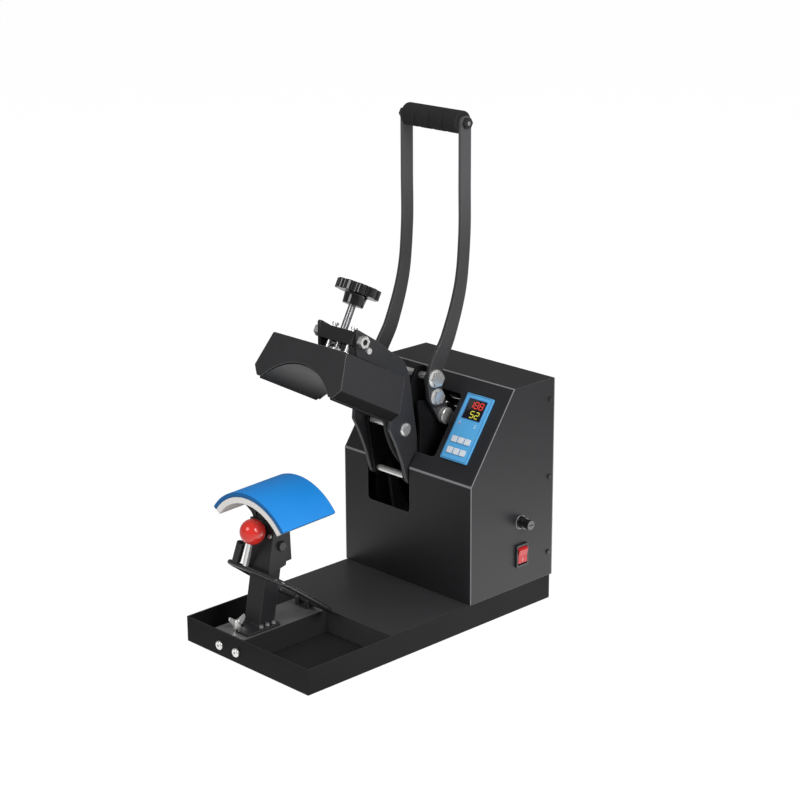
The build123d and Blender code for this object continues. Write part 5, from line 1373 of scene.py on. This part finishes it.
@dataclass
class HandleBars(Assembly):
    """The two long flat bars of the handle, bent in one smooth sweep."""

    corners: tuple[tuple[float, float], ...] = (
        (156.5, 661.0),
        (156.5, 580.0),
        (156.2, 508.0),
        (148.2, 440.0),
        (125.2, 376.0),
        (98.2, 324.2),
        (101.0, 298.3),
    )
    half: float = 9.4 * MM
    half_low: float = 12.4 * MM
    widening: tuple[float, float] = (340.0 * MM, 470.0 * MM)
    inner: float = 52.02 * MM
    outer: float = 56.98 * MM
    least_gap: float = 0.05 * MM
    row_gap: float = 4.0 * MM
    holes: tuple[tuple[float, float, float], ...] = (  # y, z and radius
        (156.5, 661.0, 4.05),
        (98.2, 324.2, 5.05),
        (101.0, 298.3, 5.05),
    )

    def _outline(self) -> tuple[Array, Array, Array, Array]:
        """Centre line, its sideways direction, and the half width and hole gap along it.

        The half width grows evenly from the grip's to the low one over the widening. At s
        past an end it is sqrt(half^2 - s^2), and the half gap at s from
        the middle of a hole of radius r is sqrt(r^2 - s^2).
        """
        fine = route_through(np.array(self.corners) * MM, 60)
        run = np.concatenate([[0.0], np.cumsum(np.linalg.norm(np.diff(fine, axis=0), axis=1))])
        spots = []
        for y, z, radius in self.holes:
            nearest = np.argmin(np.linalg.norm(fine - np.array([y, z]) * MM, axis=1))
            spots.append((run[nearest], radius * MM))
        turn = np.cos(np.linspace(0.0, math.pi, 15))
        own = [centre - radius * turn for centre, radius in spots]
        round_end = np.sin(np.linspace(0.1, 1.54, 10))
        tips = [-self.half * round_end, run[-1] + self.half_low * round_end]
        even = np.arange(0.0, run[-1], self.row_gap)
        along = np.unique(np.round(np.concatenate([even, *own, *tips]), 6))
        inside = np.clip(along, 0.0, run[-1])
        centre = np.stack([np.interp(inside, run, fine[:, axis]) for axis in (0, 1)], axis=1)
        slope = np.gradient(fine, run, axis=0)
        slope = np.stack([np.interp(inside, run, slope[:, axis]) for axis in (0, 1)], axis=1)
        slope /= np.linalg.norm(slope, axis=1, keepdims=True)
        over = along - inside
        centre += slope * over[:, None]
        half = np.interp(centre[:, 1], self.widening, (self.half_low, self.half))
        wide = np.sqrt(np.clip(half**2 - over**2, 0.0, None))
        gap = np.zeros(len(along))
        for spot, radius in spots:
            gap = np.maximum(gap, np.sqrt(np.clip(radius**2 - (along - spot) ** 2, 0.0, None)))
        gap[gap < self.least_gap] = 0.0
        return centre, np.stack([-slope[:, 1], slope[:, 0]], axis=1), wide, gap

    def build(self) -> None:
        """Make each bar: two strips side by side that part round its holes."""
        centre, side, wide, gap = self._outline()
        rows = len(centre)
        flat = np.stack([centre + side * reach[:, None] for reach in (-wide, -gap, gap, wide)], axis=1)
        layers = np.arange(rows * 8).reshape(rows, 2, 4)
        layers[:, :, 2] = np.where((gap == 0.0)[:, None], layers[:, :, 1], layers[:, :, 2])
        faces: list[list[int]] = []
        for a, b, parted in zip(layers[:-1], layers[1:], (gap[:-1] + gap[1:]) > 0.0):
            for left, right in ((0, 1), (2, 3)):
                faces.append([a[0, left], b[0, left], b[0, right], a[0, right]])
                faces.append([a[1, left], a[1, right], b[1, right], b[1, left]])
            faces.append([a[0, 0], a[1, 0], b[1, 0], b[0, 0]])
            faces.append([a[0, 3], b[0, 3], b[1, 3], a[1, 3]])
            if parted:
                faces.append([a[0, 1], b[0, 1], b[1, 1], a[1, 1]])
                faces.append([a[0, 2], a[1, 2], b[1, 2], b[0, 2]])
        first, last = layers[0], layers[-1]
        faces.append([first[0, 0], first[0, 1], first[0, 3], first[1, 3], first[1, 1], first[1, 0]])
        faces.append([last[0, 0], last[1, 0], last[1, 1], last[1, 3], last[0, 3], last[0, 1]])
        faces = [list(dict.fromkeys(int(index) for index in face)) for face in faces]
        for name, node, low, high in (
            ("bar_left", "handle_bar_left", MECH_X - self.outer, MECH_X - self.inner),
            ("bar_right", "handle_bar_right", MECH_X + self.inner, MECH_X + self.outer),
        ):
            sides = [np.concatenate([np.full((rows, 4, 1), x), flat], axis=2) for x in (low, high)]
            bar = self.piece(name, Palette.BARS, Body.HANDLE, node)
            bar.from_faces(np.stack(sides, axis=1), faces, smooth=False)


@dataclass
class HandleGrip(Assembly):
    """The foam grip, with creases for the fingers below, and the eyes of its bolt."""

    centre: Point = (MECH_X, 156.5 * MM, 661.0 * MM)
    half: float = 51.6 * MM
    radius: float = 15.4 * MM
    corner: float = 2.4 * MM
    crease: float = 2.4 * MM
    crease_wide: float = 1.9 * MM
    bore: float = 4.2 * MM
    crease_spots: tuple[float, ...] = (-0.5, 0.0, 0.5)  # shares of the half length
    crease_side: float = math.radians(215.0)
    eye_out: float = 62.2 * MM
    eye: tuple[tuple[float, float], ...] = ((3.0, 0.0), (2.9, 0.5), (2.2, 0.9), (0.01, 1.0))

    def build(self) -> None:
        """Make the grip: a round bar drawn in at the ends and creased from below.

        The radius at x falls by corner x (1 - cos e) near each end, where sin e runs
        from 0 to 1 over the last corner. It falls by crease x b(x) x u(a) too: b is a bell
        about each of three places along, and u is the cosine of the angle from the front
        of the underside, to the power 0.8, where it is above 0.
        """
        turn = np.linspace(0.0, math.pi / 2, 7)[1:]
        tail = self.half - self.corner + self.corner * np.sin(turn)
        middle = np.linspace(-(self.half - self.corner), self.half - self.corner, 120)
        x = np.concatenate([-tail[::-1], middle, tail])[:, None]
        drop = self.corner * (1 - np.cos(turn))
        inset = np.concatenate([drop[::-1], np.zeros(len(middle)), drop])[:, None]
        angle = np.linspace(0.0, math.tau, 72, endpoint=False)[None, :]
        under = np.clip(np.cos(angle - self.crease_side), 0.0, 1.0) ** 0.8
        away = [(x - spot * self.half) / self.crease_wide for spot in self.crease_spots]
        bells = sum(np.exp(-(distance**2)) for distance in away)
        radius = self.radius - inset - self.crease * bells * under
        along = np.broadcast_to(x, radius.shape)
        bore = np.full((2, radius.shape[1]), self.bore)
        radius = np.concatenate([radius, bore])
        along = np.concatenate([along, np.full_like(bore, self.half) * np.array([[1.0], [-1.0]])])
        local = np.stack([along, radius * np.sin(angle), radius * np.cos(angle)], axis=-1)
        grid = local + np.array(self.centre)
        grip = self.piece("grip_sleeve", Palette.FOAM, Body.HANDLE, "handle_grip")
        grip.from_grid(grid, wrap_rows=True, wrap_columns=True)
        profile = np.array(self.eye) * MM
        for name, way in (("grip_eye_left", -1.0), ("grip_eye_right", 1.0)):
            foot = (self.centre[0] + way * self.eye_out, *self.centre[1:])
            eye = self.piece(name, Palette.DULL_ZINC, Body.HANDLE)
            eye.closed(lathe(Axes.along(foot, (way, 0.0, 0.0)), profile, 24))


@dataclass
class FuseRing(Assembly):
    """The plated ring between the fuse holder and the housing."""

    foot: Point = (122.1 * MM, 162.0 * MM, 129.0 * MM)
    profile: tuple[tuple[float, float], ...] = ((9.3, 0.0), (10.0, 0.0), (10.2, 0.4), (9.9, 0.9), (9.3, 0.9))

    def build(self) -> None:
        """Make the ring as a turned washer, closed on itself."""
        grid = lathe(Axes.along(self.foot, (1.0, 0.0, 0.0)), np.array(self.profile) * MM)
        ring = self.piece("fuse_ring", Palette.DULL_ZINC, Body.BASE)
        ring.from_grid(grid, wrap_rows=True, wrap_columns=True, flip=True)


@dataclass
class PressPad(Assembly):
    """The silicone pad: a bent slab with rounded edges all round."""

    radius: float = 87.0 * MM
    thick: float = 6.0 * MM
    half_chord: float = 69.5 * MM
    length: float = 91.0 * MM
    corner: float = 1.4 * MM

    def build(self) -> None:
        """Make the slab: a rounded section, carried round an arc and drawn in at both ends.

        The section is radial by axial. At arc angle s it is drawn in by
        corner x (1 - cos e), where sin e runs from 0 to 1 over the last corner of the arc.
        """
        spread = math.asin(self.half_chord / self.radius)
        turn = np.linspace(0.0, math.pi / 2, 6)[1:]
        last = self.corner / self.radius
        tail = spread - last + last * np.sin(turn)
        body = np.linspace(-(spread - last), spread - last, 90)
        angle = np.concatenate([-tail[::-1], body, tail])
        inset = self.corner * (1 - np.cos(turn))
        drawn = np.concatenate([inset[::-1], np.zeros(len(body)), inset])
        loop = frame_loop(self.thick, self.length, self.corner, 6)
        half = np.array([self.thick / 2, self.length / 2])
        scale = (half[None, None, :] - drawn[:, None, None]) / half[None, None, :]
        section = loop[None, :, :] * scale
        radius = self.radius - self.thick / 2 + section[..., 0]
        across = radius * np.sin(angle)[:, None]
        height = radius * np.cos(angle)[:, None]
        level, lift = math.cos(PAD_TILT), math.sin(PAD_TILT)
        axes = Axes((MECH_X, *PAD_CENTRE), (1.0, 0.0, 0.0), (0.0, level, lift), (0.0, -lift, level))
        grid = axes.place(np.stack([across, section[..., 1], height], axis=-1))
        pad = self.piece("pad_skin", Palette.BLUE, Body.BASE, "silicone_pad")
        pad.from_grid(grid, wrap_columns=True, close_ends=True)


@dataclass
class Welds(Assembly):
    """The weld bead that runs round the foot of the post."""

    width: float = 30.0 * MM
    depth: float = 25.4 * MM
    centre_y: float = -171.2 * MM
    top: float = 38.3 * MM
    radius: float = 1.3 * MM
    ripple: float = 1.6 * MM
    spare: float = 0.6 * MM
    corner: float = 1.5 * MM

    def build(self) -> None:
        """Make the bead: a ring whose radius swells once every ripple of its length."""
        loop = frame_loop(self.width + self.spare, self.depth + self.spare, self.corner, 8)
        closed = np.vstack([loop, loop[:1]])
        length = np.concatenate([[0.0], np.cumsum(np.linalg.norm(np.diff(closed, axis=0), axis=1))])
        at = np.linspace(0.0, length[-1], 420, endpoint=False)
        line = np.stack([np.interp(at, length, closed[:, k]) for k in (0, 1)], axis=1)
        path = np.column_stack([line[:, 0] + MECH_X, line[:, 1] + self.centre_y, np.full(len(at), self.top)])
        swell = self.radius * (0.9 + 0.1 * np.abs(np.sin(math.pi * at / self.ripple)))
        grid = carried_ring(path, (0.0, 0.0, 1.0), swell, 12)
        weld = self.piece("foot_weld", Palette.COAT, Body.BASE)
        weld.from_grid(grid, wrap_rows=True, wrap_columns=True, flip=True)


@dataclass
class SocketHeads(Assembly):
    """Painted shade in the sockets of the dome screws of the front wall and of the bolts of the cross block.
    """

    spots: tuple[tuple[float, float], ...] = ((-51.5 * MM, 15.0 * MM), (-18.5 * MM, 15.0 * MM))
    front: float = -228.95 * MM
    across: float = 1.5 * MM
    block: tuple[float, float] = (-18.0 * MM, 395.2 * MM)
    block_reach: float = 45.2 * MM
    hollow: float = 3.95 * MM

    def build(self) -> None:
        """Make one darker six-sided mark in each head, and line the hollows of the block bolts with black:
        painted shade for the sockets.
        """
        angle = np.arange(6) * math.tau / 6
        mark = self.across * np.stack([np.cos(angle), np.sin(angle)], axis=1)
        outlines = [mark + np.array(spot) for spot in self.spots]
        axes = Axes((0.0, self.front, 0.0), (1.0, 0.0, 0.0), (0.0, 0.0, 1.0), (0.0, -1.0, 0.0))
        points, faces = prisms(outlines, -0.3 * MM, 0.05 * MM, axes)
        # painted shade: darker six-sided marks stand for the screws' sockets
        self.piece("dome_socket_shade", Palette.DULL_ZINC, Body.BASE).from_faces(points, faces, smooth=False)
        disc = [(self.hollow, 0.0), (TIP, 0.02 * MM)]
        for name, way in (("block_socket_shade_left", -1.0), ("block_socket_shade_right", 1.0)):
            foot = (MECH_X + way * self.block_reach, *self.block)
            # painted shade: a black disc lines each bolt's hollow
            socket = self.piece(name, Palette.SATIN, Body.ARM)
            socket.closed(lathe(Axes.along(foot, (way, 0.0, 0.0)), disc, 32))


@dataclass
class RockerMarks(Assembly):
    """The on mark of the mains rocker."""

    centre: Point = (125.5 * MM, 163.5 * MM, 75.0 * MM)
    half: tuple[float, float] = (0.45 * MM, 2.2 * MM)

    def build(self) -> None:
        """Make a bar on the lower half."""
        axes = Axes(self.centre, (0.0, 1.0, 0.0), (0.0, 0.0, 1.0), (1.0, 0.0, 0.0))
        bar = np.array([(-1, -1), (1, -1), (1, 1), (-1, 1)]) * np.array(self.half)
        points, faces = prisms([bar], -0.1 * MM, 0.05 * MM, axes)
        self.piece("rocker_on_mark", Palette.MARK, Body.POWER).from_faces(points, faces, smooth=False)


@dataclass
class Louvres(Assembly):
    """Pressed hoods over the slots of the back panel."""

    back: float = 227.0 * MM
    centres_x: tuple[float, float] = (-49.0 * MM, 49.0 * MM)
    middle_z: float = 215.0 * MM
    count: int = 7
    pitch: float = 12.0 * MM
    width: float = 70.0 * MM
    reach: float = 3.0 * MM
    rise: float = 5.6 * MM
    sink: float = 0.05 * MM
    drop: float = 2.6 * MM
    wall: float = 0.8 * MM

    def build(self) -> None:
        """Make the hoods: a quarter ellipse across, drawn in to nothing at both ends."""
        along = np.linspace(-1.0, 1.0, 25)[:, None]
        turn = np.linspace(0.0, math.pi / 2, 7)[None, :]
        full = np.sqrt(np.clip(1.0 - along**4, 0.0, 1.0))
        for column, x in enumerate(self.centres_x):
            for row in range(self.count):
                z = self.middle_z + (row - (self.count - 1) / 2) * self.pitch
                across = x + along * (self.width / 2 + 1.5 * MM)
                out = self.back + self.reach * full * np.sin(turn) - self.sink
                up = z - self.drop + self.rise * full * np.cos(turn)
                grid = np.stack(np.broadcast_arrays(across, out, up), axis=-1)
                hood = self.piece(f"louvre_{column}_{row}", Palette.COAT, Body.BASE).from_grid(grid)
                wall = hood.modifiers.new("wall", "SOLIDIFY")
                wall.thickness = self.wall
                wall.offset = -1.0


# ------------------------------------------------------------------ studio


@dataclass
class Studio:
    """Floor, light and camera."""

    focal_px: float = 2106.152
    frame_px: float = 800.0
    azimuth: float = 45.8788
    elevation: float = 17.4561
    roll: float = -0.32443
    eye: Point = (1.925728, -1.813311, 1.142544)
    aim: Point = (0.0, 0.0, 0.25)
    sky_level: float = 0.42
    sky_gloss: float = 0.2
    pool: Point = (0.22, 0.24, 0.0)
    floor_half: float = 9.0
    floor_z: float = -0.5 * MM
    lamps: tuple[tuple[str, Point, float, float], ...] = (
        ("right", (2.3, -0.1, 1.65), 1.4, 0.68),
        ("front", (-0.3, -2.3, 1.8), 1.3, 0.24),
        ("top", (0.0, 0.6, 3.0), 1.8, 0.10),
    )

    def camera(self) -> None:
        """Place the camera: azimuth turns it from +Y towards -X, elevation tips it down."""
        az, el, roll = (math.radians(a) for a in (self.azimuth, self.elevation, self.roll))
        look = np.array([-math.sin(az) * math.cos(el), math.cos(az) * math.cos(el), -math.sin(el)])
        right = np.array([math.cos(az), math.sin(az), 0.0])
        up = np.cross(right, look)
        across = math.cos(roll) * right + math.sin(roll) * up
        above = -math.sin(roll) * right + math.cos(roll) * up
        data = bpy.data.cameras.new("camera")
        data.sensor_width = 36.0
        data.lens = self.focal_px / self.frame_px * data.sensor_width
        data.clip_start = 0.05
        data.clip_end = 50.0
        camera = link("camera", data)
        camera.matrix_world = Axes(self.eye, tuple(across), tuple(above), tuple(-look)).matrix()
        bpy.context.scene.camera = camera

    def lamp(self, name: str, place: Point, size: float, level: float) -> None:
        """Add a soft round lamp that points at the aim.

        Args:
            name: Name of the lamp.
            place: Where it hangs.
            size: Width of the disk.
            level: Brightness it gives a white face at the aim.
        """
        away = np.array(place) - np.array(self.aim)
        distance = float(np.linalg.norm(away))
        data = bpy.data.lights.new(name, "AREA")
        data.shape = "DISK"
        data.size = size
        data.energy = level * math.pi**2 * distance**2
        link(name, data).matrix_world = Axes.along(place, away).matrix()

    def floor(self) -> None:
        """Add a pale floor that the eye sees as white, with the shadow left on it."""
        sheet = NodeSheet("studio_floor")
        seen = sheet.add("ShaderNodeLightPath", output="Is Camera Ray")
        mirrored = sheet.add("ShaderNodeLightPath", output="Is Glossy Ray")
        ends = [sheet.place(), self.pool]
        away = sheet.add("ShaderNodeVectorMath", {"operation": "DISTANCE"}, ends, output="Value")
        pool = sheet.blend(away.step(0.05, 0.85), (2.6, 2.6, 2.6), (0.45, 0.45, 0.45))
        paint = sheet.add("ShaderNodeBsdfDiffuse", None, {"Color": (0.8, 0.8, 0.8)})
        glow = sheet.add("ShaderNodeEmission", None, {"Color": (1.0, 1.0, 1.0), "Strength": 1.15})
        shine = sheet.add("ShaderNodeEmission", None, {"Color": pool, "Strength": 1.0})
        mixed = sheet.add("ShaderNodeMixShader", None, [seen * 0.8, paint, glow])
        mixed = sheet.add("ShaderNodeMixShader", None, [mirrored * 0.8, mixed, shine])
        sheet.add("ShaderNodeOutputMaterial", None, [mixed])
        mesh = bpy.data.meshes.new("floor")
        half, low = self.floor_half, self.floor_z
        corners = [(-half, -half, low), (half, -half, low), (half, half, low), (-half, half, low)]
        mesh.from_pydata(corners, [], [(0, 1, 2, 3)])
        mesh.materials.append(sheet.material)
        floor = link("floor", mesh)

    def sky(self) -> None:
        """Light all round at one level, seen as white by the eye and at another level by gloss."""
        world = bpy.data.worlds.new("studio")
        bpy.context.scene.world = world
        world.use_nodes = True
        tree = world.node_tree
        tree.nodes.clear()
        path = tree.nodes.new("ShaderNodeLightPath")
        back = tree.nodes.new("ShaderNodeBackground")
        out = tree.nodes.new("ShaderNodeOutputWorld")
        strength = None
        level = self.sky_level
        for name, change in (("Is Camera Ray", 1.0 - level), ("Is Glossy Ray", self.sky_gloss - level)):
            step = tree.nodes.new("ShaderNodeMath")
            step.operation = "MULTIPLY_ADD"
            step.inputs[1].default_value = change
            step.inputs[2].default_value = level
            tree.links.new(path.outputs[name], step.inputs[0])
            if strength:
                tree.links.new(strength, step.inputs[2])
            strength = step.outputs[0]
        tree.links.new(strength, back.inputs["Strength"])
        tree.links.new(back.outputs[0], out.inputs["Surface"])
        back.inputs["Color"].default_value = (1.0, 1.0, 1.0, 1.0)

    def build(self) -> None:
        """Set up the whole studio."""
        self.camera()
        self.floor()
        self.sky()
        for lamp in self.lamps:
            self.lamp(*lamp)
        bpy.context.scene.view_settings.view_transform = "Standard"


# ------------------------------------------------------------------ the whole part


def main() -> None:
    """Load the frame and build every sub-assembly."""
    logging.basicConfig(level=logging.INFO, format="%(name)s: %(message)s")
    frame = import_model()
    palette = Palette()
    Solids(palette).build(frame["nodes"])
    Studio().build()
    assemblies: tuple[type[Assembly], ...] = (
        Fascia,
        PressureDrive,
        HeaterSleeve,
        HandleBars,
        HandleGrip,
        PressPad,
        FuseRing,
        Welds,
        SocketHeads,
        RockerMarks,
        Louvres,
    )
    for assembly in assemblies:
        assembly(palette).build()


if __name__ == "__main__":
    main()
